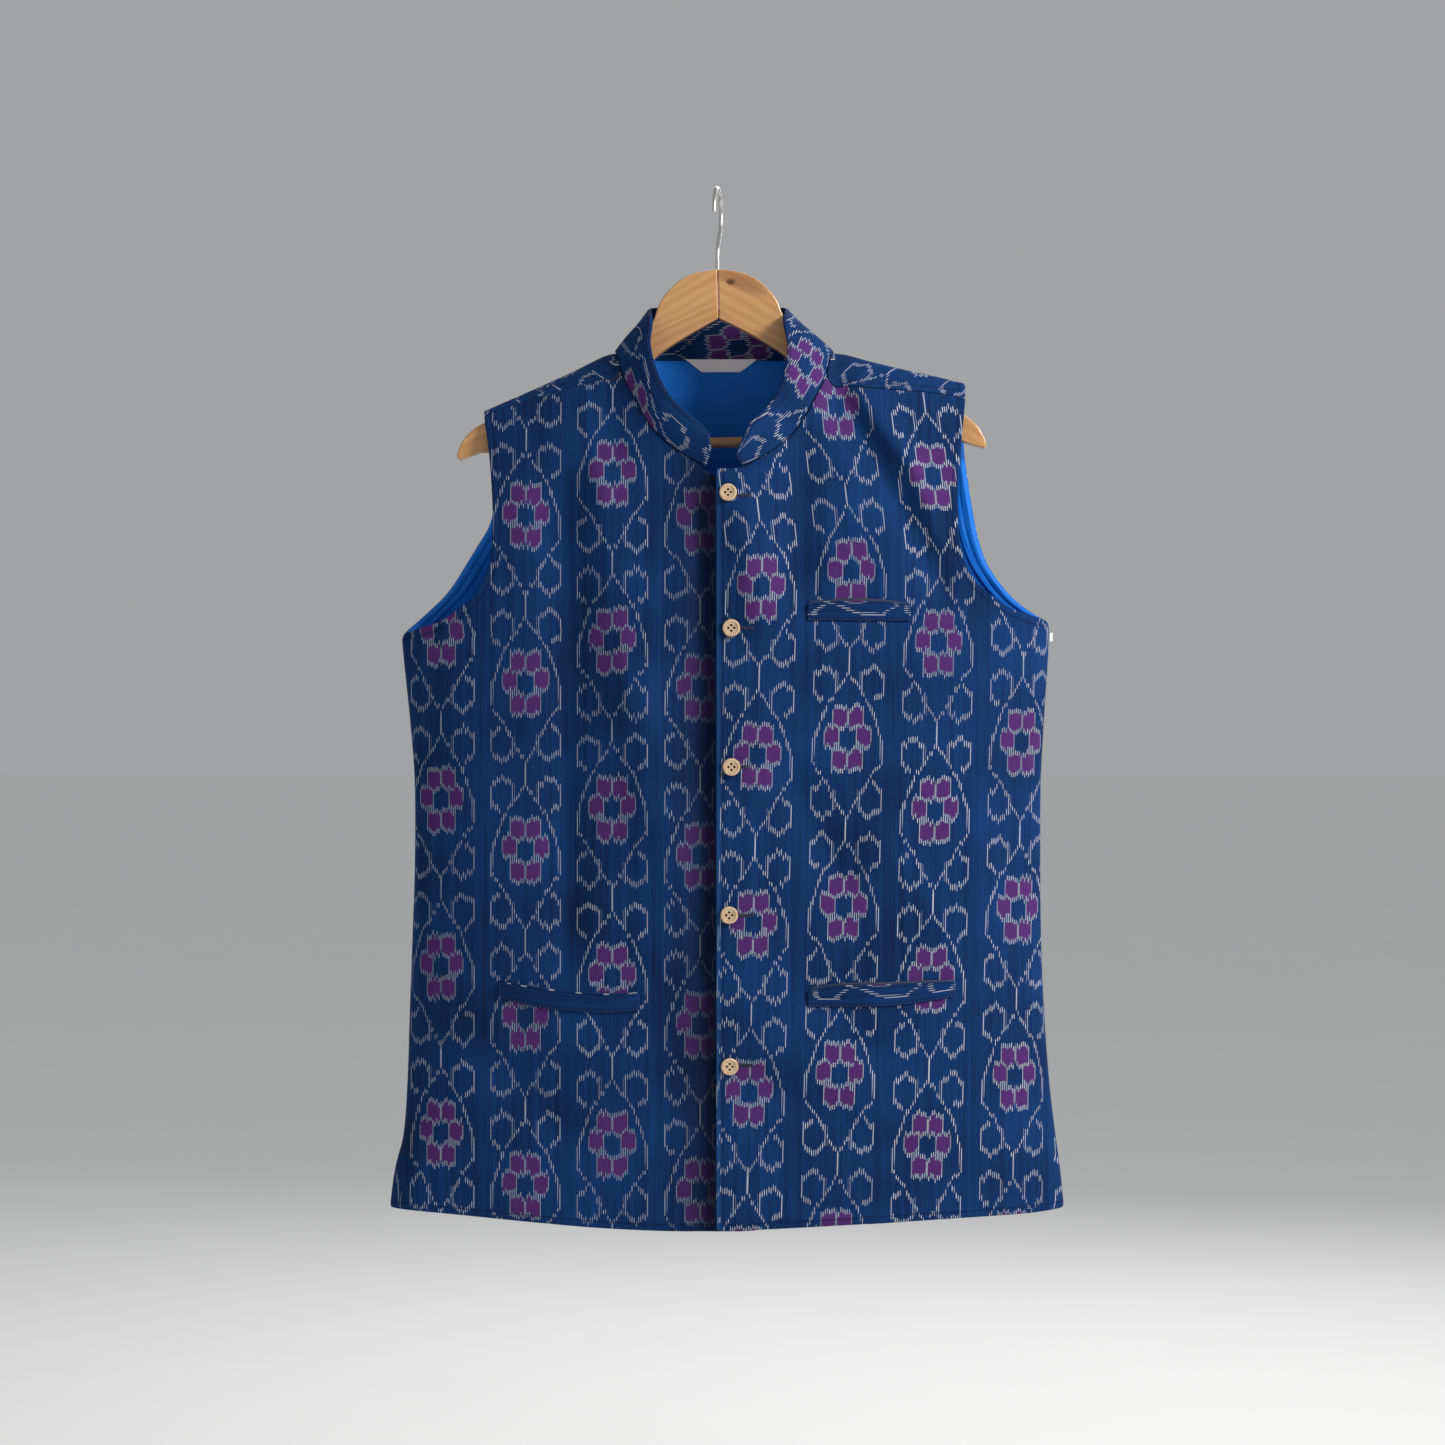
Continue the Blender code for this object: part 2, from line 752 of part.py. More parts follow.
def lining_back(group, material):
    """The lining of the back, which shows through the neck and the armholes."""
    rows = [[place(x, q) for x, q in row] for row in lining_points()]
    step = 0.5 * CLOTH + LINING_GAP + 0.5 * LINING_CLOTH
    last = len(rows) - 1
    moved = []
    for i, row in enumerate(rows):
        line = []
        for j, point in enumerate(row):
            across = row[min(j + 1, len(row) - 1)] - row[max(j - 1, 0)]
            along = rows[min(i + 1, last)][j] - rows[max(i - 1, 0)][j]
            outward = along.cross(across).normalized()
            line.append(point - outward * (step if outward.y > 0 else -step))
        moved.append(line)
    obj = mesh_object("lining_back", [moved], flip=True)
    return finish_object(thicken(obj, LINING_CLOTH), group, material)


def collar_sections():
    """(seam point, stand, gap at the seam) around the neck, from the wearer's right end to the left one."""
    halves = []
    for side in (-1, 1):
        neckline = front_neckline(side)
        end = (CENTRE + side * NECKLINE[0].out, NECK_POINT + NECKLINE[0].drop - COLLAR_END_DROP)
        if side < 0:
            seam = [p for p in neckline if p[0] < end[0] - COLLAR_END_REACH]
        else:
            seam = neckline[1:]
        middle = tuple(0.5 * (p + q) for p, q in zip(end, seam[0]))
        front = [(x, q_at(x, below, "front")) for x, below in [end, middle, *seam]]
        back = with_q([back_neckline(side)], "back")[0]
        between = (0.5 * (front[-1][0] + back[0][0]), 0.5 * front[-1][1])
        ring = [*front, between, *back]
        points = [front_point(side, x, q) if q > 0 else place(x, q) for x, q in ring]
        lengths = [0.0]
        for a, b in zip(points, points[1:]):
            lengths.append(lengths[-1] + (b - a).length)
        half = []
        for point, length in zip(points, lengths):
            at = length / lengths[-1]
            shift = COLLAR_SHIFT * ease(at / COLLAR_SHIFTED)
            inward = read_table(COLLAR_STAND, "inward", at)
            half.append((
                point,
                Vector((
                    -side * inward + shift,
                    -read_table(COLLAR_STAND, "fore", at),
                    read_table(COLLAR_STAND, "up", at),
                )),
                read_table(COLLAR_STAND, "start", at),
            ))
        halves.append(half)
    return halves[0] + halves[1][::-1][1:]


def collar(group, material):
    sections = collar_sections()
    middle = Vector((CENTRE, 0.0, -NECK_POINT))
    rows = []
    for k in range(COLLAR_ROWS + 1):
        row = []
        for n, (seam, stand, gap) in enumerate(sections):
            t = k / COLLAR_ROWS
            start = gap / stand.length
            along = start + (1 - start) * t
            away = (seam - middle) * Vector((1, 1, 0))
            bow = away.normalized() * COLLAR_BOW * 4 * t * (1 - t)
            point = seam + stand * along + bow
            if n in (0, len(sections) - 1):
                end = -1 if n else 1
                point.x += end * COLLAR_END_ROUND * math.sin(math.pi * min(t, 0.8))
                point.z -= COLLAR_CORNER * ease((t - 0.6) / 0.4)
            near = max(1 - (seam - sections[-1][0]).length / COLLAR_FALL_REACH, 0)
            point += Vector(COLLAR_FALL) * near**2 * t
            row.append(point)
        rows.append(row)
    obj = mesh_object("collar", [rows])
    return finish_object(thicken(obj, COLLAR_CLOTH), group, material)


def surface_of(obj):
    """A search tree over an object's mesh with its modifiers."""
    bpy.context.view_layer.update()
    graph = bpy.context.evaluated_depsgraph_get()
    return BVHTree.FromObject(obj, graph)


def front_y(tree, x, below):
    """The outer face of a front at a place seen from straight ahead, in millimetres."""
    hit = tree.ray_cast(Vector((x, -400.0, -below)) * MM, Vector((0, 1, 0)))[0]
    return hit.y / MM


def welt(span, tree, group, material):
    rows = []
    for i in range(WELT_ROWS + 1):
        row = []
        for j in range(WELT_COLUMNS + 1):
            share = j / WELT_COLUMNS
            x = blend(span.start, span.end, share)
            low = read_table(span.rows, "bottom", share)
            high = read_table(span.rows, "top", share)
            below = blend(low, high, i / WELT_ROWS)
            y = front_y(tree, x, below) - WELT_LIFT - 0.5 * WELT_CLOTH + LAID_GAP
            row.append(Vector((x, y, -below)))
        rows.append(row)
    obj = mesh_object(span.name, [rows])
    return finish_object(thicken(obj, WELT_CLOTH), group, material)


def button_mesh():
    """A turned button with a dished face inside a slight rim. Its back lies at z = 0."""
    radius = BUTTON_RADIUS * MM
    thick = BUTTON_THICK * MM
    profile = (
        (0.0, 0.80 * thick),
        (0.62 * radius, 0.80 * thick),
        (0.78 * radius, thick),
        (0.92 * radius, 0.94 * thick),
        (radius, 0.62 * thick),
        (0.90 * radius, 0.12 * thick),
        (0.70 * radius, 0.0),
        (0.0, 0.0),
    )
    data = bpy.data.meshes.new("button")
    data.from_pydata(
        [(x, 0.0, z) for x, z in profile],
        [(k, k + 1) for k in range(len(profile) - 1)],
        [],
    )
    return data


def button(index, row, tree, data, group, material):
    around = [Vector((row.x, front_y(tree, row.x, row.below), -row.below))]
    for k in range(8):
        angle = 2 * math.pi * k / 8
        x = row.x + BUTTON_RADIUS * math.cos(angle)
        below = row.below + BUTTON_RADIUS * math.sin(angle)
        around.append(Vector((x, front_y(tree, x, below), -below)))
    slope_x = (around[1] - around[5]).normalized()
    slope_z = (around[7] - around[3]).normalized()
    normal = slope_x.cross(slope_z).normalized()
    normal = normal if normal.y < 0 else -normal
    centre = around[0]
    clear = max((point - centre).dot(normal) for point in around) + LAID_GAP
    obj = bpy.data.objects.new(f"button_{index}", data)
    obj.location = (centre + normal * clear) * MM
    obj.rotation_mode = "QUATERNION"
    obj.rotation_quaternion = normal.to_track_quat("Z", "Y")
    turn = obj.modifiers.new("turn", "SCREW")
    turn.steps = turn.render_steps = BUTTON_STEPS
    turn.use_merge_vertices = True
    turn.merge_threshold = 1e-5
    group.objects.link(obj)
    if not data.materials:
        data.materials.append(material)
    return obj


def blank_label(lining, group, material):
    """The blank label under the back of the collar, with its lower corners cut away."""
    tree = surface_of(lining)
    rows = []
    for i in range(LABEL_ROWS + 1):
        up = i / LABEL_ROWS
        row = []
        for j in range(LABEL_COLUMNS + 1):
            half = blend(LABEL_NARROW, LABEL_WIDE, up)
            x = LABEL_CENTRE + half * (2 * j / LABEL_COLUMNS - 1)
            below = LABEL_TOP + LABEL_HEIGHT * (1 - up)
            hit = tree.ray_cast(Vector((x, 0.0, -below)) * MM, Vector((0, 1, 0)))[0]
            row.append(Vector((x, hit.y / MM - LAID_GAP - 0.5 * LABEL_CLOTH, -below)))
        rows.append(row)
    obj = mesh_object("neck_label", [rows])
    return finish_object(thicken(obj, LABEL_CLOTH), group, material)


def side_label(group, material):
    """The end of a folded label that is caught in the wearer's left side seam."""
    edge = CENTRE + half_width(1, SIDE_LABEL_BELOW) + 0.5 * CLOTH + LAID_GAP
    bpy.ops.mesh.primitive_cube_add(size=1.0)
    obj = bpy.context.object
    for old in list(obj.users_collection):
        old.objects.unlink(obj)
    obj.name = "side_label"
    size = Vector((SIDE_LABEL_WIDTH, SIDE_LABEL_THICK, SIDE_LABEL_HEIGHT)) * MM
    matrix = Matrix.Translation(Vector((edge + 0.5 * SIDE_LABEL_WIDTH, 0.0, -SIDE_LABEL_BELOW)) * MM)
    obj.data.transform(matrix @ Matrix.Diagonal((*size, 1.0)))
    return finish_object(obj, group, material, smooth=False)


def hanger_arm(side, pivot, cutters, group, material):
    """Half of the wood: its outline, made as thick as the board, with rounded edges and its bores."""
    mesh = bmesh.new()
    half = 0.5 * HANGER_THICK
    outline = [
        mesh.verts.new(Vector((side * row.out, -half, HOOK_ROOT - row.below)) * MM)
        for row in WOOD_TOP + WOOD_UNDER
    ]
    face = mesh.faces.new(outline if side > 0 else outline[::-1])
    pushed = bmesh.ops.extrude_face_region(mesh, geom=[face])
    moved = [item for item in pushed["geom"] if isinstance(item, bmesh.types.BMVert)]
    bmesh.ops.translate(mesh, verts=moved, vec=Vector((0, HANGER_THICK, 0)) * MM)
    bmesh.ops.recalc_face_normals(mesh, faces=mesh.faces[:])
    data = bpy.data.meshes.new("hanger_arm")
    mesh.to_mesh(data)
    mesh.free()
    obj = bpy.data.objects.new(f"hanger_arm_{side_name(side)}", data)
    finish_object(obj, group, material)
    obj.parent = pivot
    soft = obj.modifiers.new("soft_edges", "BEVEL")
    soft.width = WOOD_ROUND * MM
    soft.segments = 3
    soft.limit_method = "ANGLE"
    soft.angle_limit = math.radians(50)
    for cutter in cutters:
        cut = obj.modifiers.new(cutter.name, "BOOLEAN")
        cut.operation = "DIFFERENCE"
        cut.object = cutter
    return obj


def rod(name, radius, start, end, sides=12):
    """A closed round rod between two points, in millimetres."""
    start, end = Vector(start), Vector(end)
    mesh = bmesh.new()
    bmesh.ops.create_cone(
        mesh, cap_ends=True, segments=sides, radius1=radius * MM, radius2=radius * MM,
        depth=(end - start).length * MM,
    )
    turn = (end - start).to_track_quat("Z", "Y").to_matrix().to_4x4()
    mesh.transform(Matrix.Translation(0.5 * (start + end) * MM) @ turn)
    data = bpy.data.meshes.new(name)
    mesh.to_mesh(data)
    mesh.free()
    return bpy.data.objects.new(name, data)


def hook_points():
    """The wire's middle line: up out of the wood, round behind and over to the near side."""
    points = [(0.0, HOOK_ROOT + HOOK_FOOT), (0.0, HOOK_ROOT), (0.0, HOOK_STRAIGHT)]
    middle = HOOK_RADIUS - HOOK_WIRE
    for k in range(HOOK_STEPS + 1):
        angle = math.radians(blend(HOOK_START, HOOK_END, k / HOOK_STEPS))
        reach = HOOK_RADIUS * math.cos(angle)
        points.append((reach, middle - HOOK_RADIUS * math.sin(angle)))
    smooth = through(points[:3] + points[5:6], steps=4)
    turn = math.radians(HOOK_TURN)
    line = smooth[:-1] + points[5:]
    return [Vector((reach * math.sin(turn), reach * math.cos(turn), -below)) for reach, below in line]


def hanger_hook(group, material):
    curve = bpy.data.curves.new("hanger_hook", "CURVE")
    curve.dimensions = "3D"
    curve.bevel_depth = HOOK_WIRE * MM
    curve.bevel_resolution = 2
    curve.use_fill_caps = True
    spline = curve.splines.new("POLY")
    points = hook_points()
    spline.points.add(len(points) - 1)
    for target, point in zip(spline.points, points):
        target.co = (*(point * MM), 1.0)
    obj = bpy.data.objects.new("hanger_hook", curve)
    return finish_object(obj, group, material)


def hanger(group, cutter_group, wood, steel):
    pivot = bpy.data.objects.new("hanger_pivot", None)
    pivot.location = (0.0, 0.0, -HOOK_ROOT * MM)
    pivot.rotation_euler = (0.0, -math.radians(HANGER_TILT), 0.0)
    group.objects.link(pivot)
    bar_up = HOOK_ROOT - BAR_BELOW
    bar = rod("hanger_bar", BAR_RADIUS, (-BAR_HALF, 0, bar_up), (BAR_HALF, 0, bar_up), 16)
    bore_half = BAR_HALF + BAR_END_GAP
    bore = rod("bar_bore", BAR_RADIUS + BAR_FIT, (-bore_half, 0, bar_up), (bore_half, 0, bar_up), 16)
    socket = rod("hook_bore", HOOK_WIRE + SOCKET_FIT, (0, 0, SOCKET_BOTTOM), (0, 0, SOCKET_TOP), 12)
    for cutter in (bore, socket):
        cutter_group.objects.link(cutter)
        cutter.parent = pivot
        cutter.hide_render = True
        cutter.display_type = "WIRE"
    for side in (-1, 1):
        hanger_arm(side, pivot, (bore, socket), group, wood)
    finish_object(bar, group, wood)
    bar.parent = pivot
    hanger_hook(group, steel)


def main():
    clear_scene()
    group = make_collection("nehru_jacket_on_a_hanger")
    cutters = make_collection("cutters")
    ikat = make_material("ikat_cotton", IKAT)
    azure = make_material("lining", LINING)
    blank = make_material("label", LABEL)
    shell = make_material("button", BUTTON)
    wood = make_material("hanger_wood", WOOD)
    steel = make_material("hook_steel", STEEL)
    back_panel(group, ikat)
    lining = lining_back(group, azure)
    fronts = {side: front_panel(side, group, ikat) for side in (-1, 1)}
    trees = {side: surface_of(front) for side, front in fronts.items()}
    collar(group, ikat)
    for span in WELTS:
        welt(span, trees[span.side], group, ikat)
    data = button_mesh()
    for index, row in enumerate(BUTTONS, 1):
        button(index, row, trees[1], data, group, shell)
    blank_label(lining, group, blank)
    side_label(group, blank)
    hanger(group, cutters, wood, steel)


main()
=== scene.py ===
"""The looks of a sleeveless ikat Nehru jacket that hangs on a wooden hanger.

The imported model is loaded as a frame, and every cloth, button and wooden piece is modelled again around it,
finer and with its finish. Working sizes are millimetres, and MM turns them into metres where a mesh is made.
The origin is the place inside the top of the hook where a rail bears. The front faces -Y and +X is the
wearer's left. Heights named "below" are measured down from the origin.
"""

import logging
import math
from collections.abc import Sequence
from dataclasses import dataclass, field
from enum import Enum, IntEnum
from typing import NamedTuple

import bmesh
import bpy
from mathutils import Matrix, Vector, noise
from mathutils.kdtree import KDTree


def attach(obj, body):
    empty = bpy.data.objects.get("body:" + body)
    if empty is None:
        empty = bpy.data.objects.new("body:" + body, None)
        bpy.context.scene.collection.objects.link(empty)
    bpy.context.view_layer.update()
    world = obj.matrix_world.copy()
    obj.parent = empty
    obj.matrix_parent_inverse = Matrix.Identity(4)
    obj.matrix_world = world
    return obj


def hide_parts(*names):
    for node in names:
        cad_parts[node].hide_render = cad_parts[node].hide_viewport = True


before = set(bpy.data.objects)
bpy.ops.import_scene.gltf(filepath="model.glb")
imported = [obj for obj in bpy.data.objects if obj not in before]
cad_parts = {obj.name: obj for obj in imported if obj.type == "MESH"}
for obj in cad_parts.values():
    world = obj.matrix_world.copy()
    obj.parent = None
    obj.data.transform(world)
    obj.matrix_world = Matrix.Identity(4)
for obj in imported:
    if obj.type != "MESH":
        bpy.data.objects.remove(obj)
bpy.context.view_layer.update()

MM = 0.001
BODY = "root"
PLACE = "cloth_place"
FAR_FROM_EDGE = 40.0
ABOVE_CLOTH = 0.06
LOG = logging.getLogger("jacket")

Pair = tuple[float, float]


class Side(IntEnum):
    """The half of the jacket, as seen from the front."""

    LEFT = -1
    RIGHT = 1


class Face(Enum):
    """The half of the cloth before or behind the shoulder ridge."""

    FRONT = "front"
    BACK = "back"


class SideRow(NamedTuple):
    """Half widths of the jacket at a height."""

    below: float
    left: float
    right: float


class RidgeRow(NamedTuple):
    """How far the shoulder ridge has dropped at a distance out from the middle."""

    out: float
    left: float
    right: float


class HemRow(NamedTuple):
    """How far the hem hangs under its side corners at a share of the half width."""

    share: float
    left: float
    right: float
    back: float


class ArmholeRow(NamedTuple):
    """A point of an armhole's edge, measured from the armpit."""

    inward: float
    up: float


class NeckRow(NamedTuple):
    """A point of the neckline, out from the middle and down from the neck point."""

    out: float
    drop: float


class SeamRow(NamedTuple):
    """Where a shoulder seam runs in front of the ridge."""

    tip: float
    neck: float
    neck_out: float
    neck_drop: float


class CollarRow(NamedTuple):
    """How the collar stands at a share of the way from its front end to the middle of the back."""

    at: float
    inward: float
    up: float
    fore: float
    start: float


class FoldRow(NamedTuple):
    """A soft fold: a line on the cloth, its half width and how far it stands out."""

    x0: float
    below0: float
    x1: float
    below1: float
    half_width: float
    height: float


class WeltRow(NamedTuple):
    """The upper and lower edge of a welt at a share of its length."""

    share: float
    top: float
    bottom: float


class ButtonRow(NamedTuple):
    """The middle of a button, and how far out and down from it its buttonhole's end shows."""

    x: float
    below: float
    hole_end: float
    hole_drop: float


class WoodRow(NamedTuple):
    """A point of the wood's outline, out from the joint of its halves."""

    out: float
    below: float


def table(kind: type[NamedTuple], *rows: tuple[float, ...]) -> tuple[NamedTuple, ...]:
    """Rows of one kind, each from its values in the order of the kind's columns."""
    return tuple(kind(*row) for row in rows)


SIDE_SEAM = table(
    SideRow,
    (358, 268.9, 269.2), (390, 266.0, 268.3), (440, 260.8, 265.0), (490, 257.0, 262.4),
    (560, 256.9, 262.0), (620, 258.8, 262.6), (680, 261.0, 265.0), (740, 263.0, 269.4),
    (785, 266.4, 274.6), (810, 272.8, 277.8), (843, 277.0, 281.0),
)
RIDGE = table(
    RidgeRow,
    (91.7, 0.0, 0.0), (100, 2.4, 0.8), (121, 13.0, 6.6), (149, 26.0, 13.4), (176, 38.0, 19.4),
    (200, 48.4, 25.2), (280, 82.0, 43.0),
)
HEM_DROP = table(
    HemRow,
    (0.0, 16.0, 15.5, 5.0), (0.2, 15.4, 13.2, 5.0), (0.4, 12.8, 10.3, 4.0), (0.7, 6.2, 6.2, 2.0),
    (0.88, 2.4, 3.6, 0.8), (1.0, 0.0, 0.0, 0.0),
)
FRONT_ARMHOLE = table(
    ArmholeRow,
    (0, 0), (15, 5), (30, 9), (45, 18), (60, 30), (69, 44), (74.5, 61), (76.5, 80), (76.5, 108),
    (73.5, 148),
)
BACK_ARMHOLE = {
    Side.LEFT: table(
        ArmholeRow,
        (0, 0), (18, 17), (37, 36), (53, 61), (62, 76), (71, 91), (75, 108), (75, 130), (72, 155),
    ),
    Side.RIGHT: table(
        ArmholeRow,
        (0, 0), (16, 10), (29, 21), (40, 34), (50, 50), (57, 70), (62, 95), (67, 128), (69.5, 152),
    ),
}
NECKLINE = table(
    NeckRow,
    (15.5, 97.0), (22, 92.5), (36, 84.5), (51, 73), (61, 62), (70, 47), (77, 34), (86, 15),
)
UNDER_NECKLINE = table(NeckRow, (17.5, 97.2), (26.0, 90.2))
SHOULDER_SEAM = {
    Side.LEFT: SeamRow(3.0, 25.0, 85.2, 17.0),
    Side.RIGHT: SeamRow(12.0, 32.0, 83.9, 20.0),
}
COLLAR_STAND = table(
    CollarRow,
    (0.00, 1.0, 28.0, 7.0, 1.2), (0.06, 8.0, 29.0, 7.0, 1.2), (0.14, 11.0, 30.0, 7.0, 1.2),
    (0.24, 14.0, 31.5, 6.0, 1.2), (0.34, 20.0, 29.5, 6.0, 1.5), (0.44, 28.0, 26.5, 8.0, 2.3),
    (0.54, 36.0, 29.5, 8.0, 2.4), (0.59, 35.5, 34.5, 7.0, 2.4), (0.65, 26.2, 39.5, 3.0, 1.8),
    (0.74, 17.0, 41.5, 3.0, 1.2), (0.84, 8.0, 41.5, 3.0, 0.8), (1.00, 0.0, 41.0, 3.0, 0.7),
)
FOLDS = {
    Face.FRONT: table(
        FoldRow,
        (-124, 250, -124, 640, 17, -4.5), (-98, 250, -66, 424, 24, 4.5), (-66, 424, -40, 560, 26, 5.0),
        (-182, 726, -126, 776, 13, -2.0), (-215, 420, -196, 610, 24, 2.5), (10, 262, 42, 352, 22, 3.0),
        (70, 212, 66, 318, 16, -4.0), (104, 176, 184, 330, 13, -4.0), (122, 172, 176, 262, 13, 3.0),
        (60, 486, 98, 566, 16, -3.0), (84, 670, 134, 712, 17, -2.5), (12, 728, 146, 792, 15, -2.5),
        (214, 545, 216, 590, 26, 4.0), (246, 462, 246, 548, 13, -2.5),
    ),
    Face.BACK: table(
        FoldRow,
        (-120, 300, -150, 620, 24, -5.0), (-60, 240, -72, 520, 30, 5.0), (40, 260, 22, 700, 26, -4.5),
        (112, 250, 134, 560, 26, 5.0), (168, 300, 188, 680, 20, -4.0), (-30, 640, 120, 770, 20, 3.0),
        (-200, 440, -176, 700, 22, 3.5),
    ),
}
CREASES = {
    Face.FRONT: table(
        FoldRow,
        (-14, 262, -13, 640, 7, -4.5), (-13, 640, -12, 850, 6, -3.0), (20, 270, 30, 350, 9, 1.6),
        (112, 172, 160, 232, 6, 1.6), (160, 232, 184, 300, 5, 1.2), (96, 190, 128, 262, 5, -1.1),
        (35, 776, 73, 838, 9, -1.5), (-64, 498, -34, 556, 12, 1.2), (-110, 172, -96, 262, 7, 1.0),
        (-150, 205, -140, 300, 8, -1.1), (150, 560, 196, 640, 10, 1.1), (-230, 640, -180, 700, 10, 1.2),
        (66, 846, 140, 849, 4, 2.2), (128, 850, 208, 842, 4, 1.8), (72, 838, 138, 841, 3.5, -1.8),
        (138, 841, 202, 834, 3.5, -1.4),
    ),
    Face.BACK: table(
        FoldRow,
        (-100, 200, -128, 300, 8, 1.6), (110, 190, 142, 290, 8, 1.5), (10, 320, 26, 470, 11, 1.3),
        (-168, 520, -140, 610, 10, -1.2), (60, 700, 150, 742, 9, 1.4), (-90, 790, 10, 826, 9, -1.3),
    ),
}
WELTS = {
    "welt_breast": table(
        WeltRow,
        (0.0, 343.8, 358.6), (0.5, 341.8, 358.9), (1.0, 344.4, 358.9),
    ),
    "welt_left": table(
        WeltRow,
        (0.0, 654.6, 667.5), (0.25, 661.0, 674.9), (0.55, 665.2, 679.2), (0.8, 666.0, 679.8),
        (1.0, 663.0, 678.2),
    ),
    "welt_right": table(
        WeltRow,
        (0.0, 660.4, 675.7), (0.2, 657.2, 675.2), (0.6, 656.2, 674.0), (1.0, 653.8, 667.8),
    ),
}
BUTTONS = table(
    ButtonRow,
    (8.8, 254.1, 17.2, 2.4), (11.4, 364.6, 16.8, 0.0), (11.4, 478.4, 12.7, 0.0), (9.6, 599.6, 18.8, 0.4),
    (9.9, 723.2, 17.6, -0.8),
)
WOOD_TOP = table(
    WoodRow,
    (0.15, 66.2), (18, 68.8), (31, 74.5), (42, 84), (49, 94), (53.3, 105.2), (58.8, 113.4), (66, 119),
    (72, 124), (80, 136.6), (88, 143.2), (96, 145.4), (110, 147.6), (130, 157), (150, 166.6),
    (197, 189.6), (206, 195.0), (213.5, 202.4), (218.4, 211.8), (219.4, 216.6),
)
WOOD_UNDER = table(
    WoodRow,
    (218.4, 219.6), (210, 217.4), (197, 212.4), (160, 197.5), (120, 178.5), (81, 158.5), (62, 146),
    (48, 134.5), (28, 122), (10, 112.2), (0.15, 107.2),
)


def blend(a: float, b: float, t: float) -> float:
    """The value a share t of the way from a to b."""
    return a + (b - a) * t


def ease(t: float) -> float:
    """A share from 0 to 1 with soft ends."""
    t = min(max(t, 0.0), 1.0)
    return t * t * (3 - 2 * t)


def read_table(rows: Sequence[NamedTuple], column: str, at: float) -> float:
    """Reads a smooth curve through a column of a table.

    Args:
        rows: The table. Its first column holds the places.
        column: The name of the column to read.
        at: The place to read it at.

    Returns:
        The value there, or the end value outside the table.
    """
    places = [row[0] for row in rows]
    values = [getattr(row, column) for row in rows]
    i = 0
    while i < len(rows) - 2 and at > places[i + 1]:
        i += 1
    span = places[i + 1] - places[i]
    t = min(max((at - places[i]) / span, 0.0), 1.0)

    def slope(k: int) -> float:
        """The curve's slope at a row."""
        low, high = max(k - 1, 0), min(k + 1, len(rows) - 1)
        return (values[high] - values[low]) / (places[high] - places[low])

    return (
        (2 * t**3 - 3 * t**2 + 1) * values[i]
        + (t**3 - 2 * t**2 + t) * span * slope(i)
        + (3 * t**2 - 2 * t**3) * values[i + 1]
        + (t**3 - t**2) * span * slope(i + 1)
    )


def through(points: Sequence[Pair], steps: int = 8) -> list[Pair]:
    """A close polyline on the smooth curve through some points of the plane."""
    ends = [points[0], *points, points[-1]]
    line = []
    for a, b, c, d in zip(ends, ends[1:], ends[2:], ends[3:]):
        for k in range(steps):
            t = k / steps
            line.append(tuple(
                0.5 * (2 * q + (r - p) * t + (2 * p - 5 * q + 4 * r - s) * t * t
                       + (3 * q - p - 3 * r + s) * t**3)
                for p, q, r, s in zip(a, b, c, d)
            ))
    line.append(tuple(points[-1]))
    return line


def evenly(points: Sequence[Pair], count: int, crowd: float = 1.0) -> list[Pair]:
    """Spaces points along the smooth curve through some others.

    Args:
        points: The points that the curve goes through.
        count: How many steps to take.
        crowd: Over 1, it draws the steps together at the far end.

    Returns:
        count + 1 points.
    """
    line = through(points)
    lengths = [0.0]
    for a, b in zip(line, line[1:]):
        lengths.append(lengths[-1] + math.dist(a, b))
    found = []
    i = 0
    for k in range(count + 1):
        goal = lengths[-1] * (1 - (1 - k / count) ** crowd)
        while i < len(line) - 2 and lengths[i + 1] < goal:
            i += 1
        t = (goal - lengths[i]) / max(lengths[i + 1] - lengths[i], 1e-9)
        found.append(tuple(blend(p, q, t) for p, q in zip(line[i], line[i + 1])))
    found[-1] = tuple(points[-1])
    return found


def coons(bottom: list[Pair], top: list[Pair], outer: list[Pair], inner: list[Pair]) -> list[list[Pair]]:
    """Rows of (x, below) that fill four edges of a panel."""
    rows = []
    columns, last = len(bottom) - 1, len(outer) - 1
    for i in range(last + 1):
        s = i / last
        row = []
        for j in range(columns + 1):
            u = j / columns
            row.append(tuple(
                blend(outer[i][k], inner[i][k], u)
                + blend(bottom[j][k], top[j][k], s)
                - blend(blend(bottom[0][k], bottom[-1][k], u), blend(top[0][k], top[-1][k], u), s)
                for k in range(2)
            ))
        rows.append(row)
    return rows


@dataclass
class Spot:
    """A point of a cloth: where it hangs, and its place across and along the warp when laid flat."""

    at: Vector
    across: float
    along: float


Grid = list[list[Spot]]


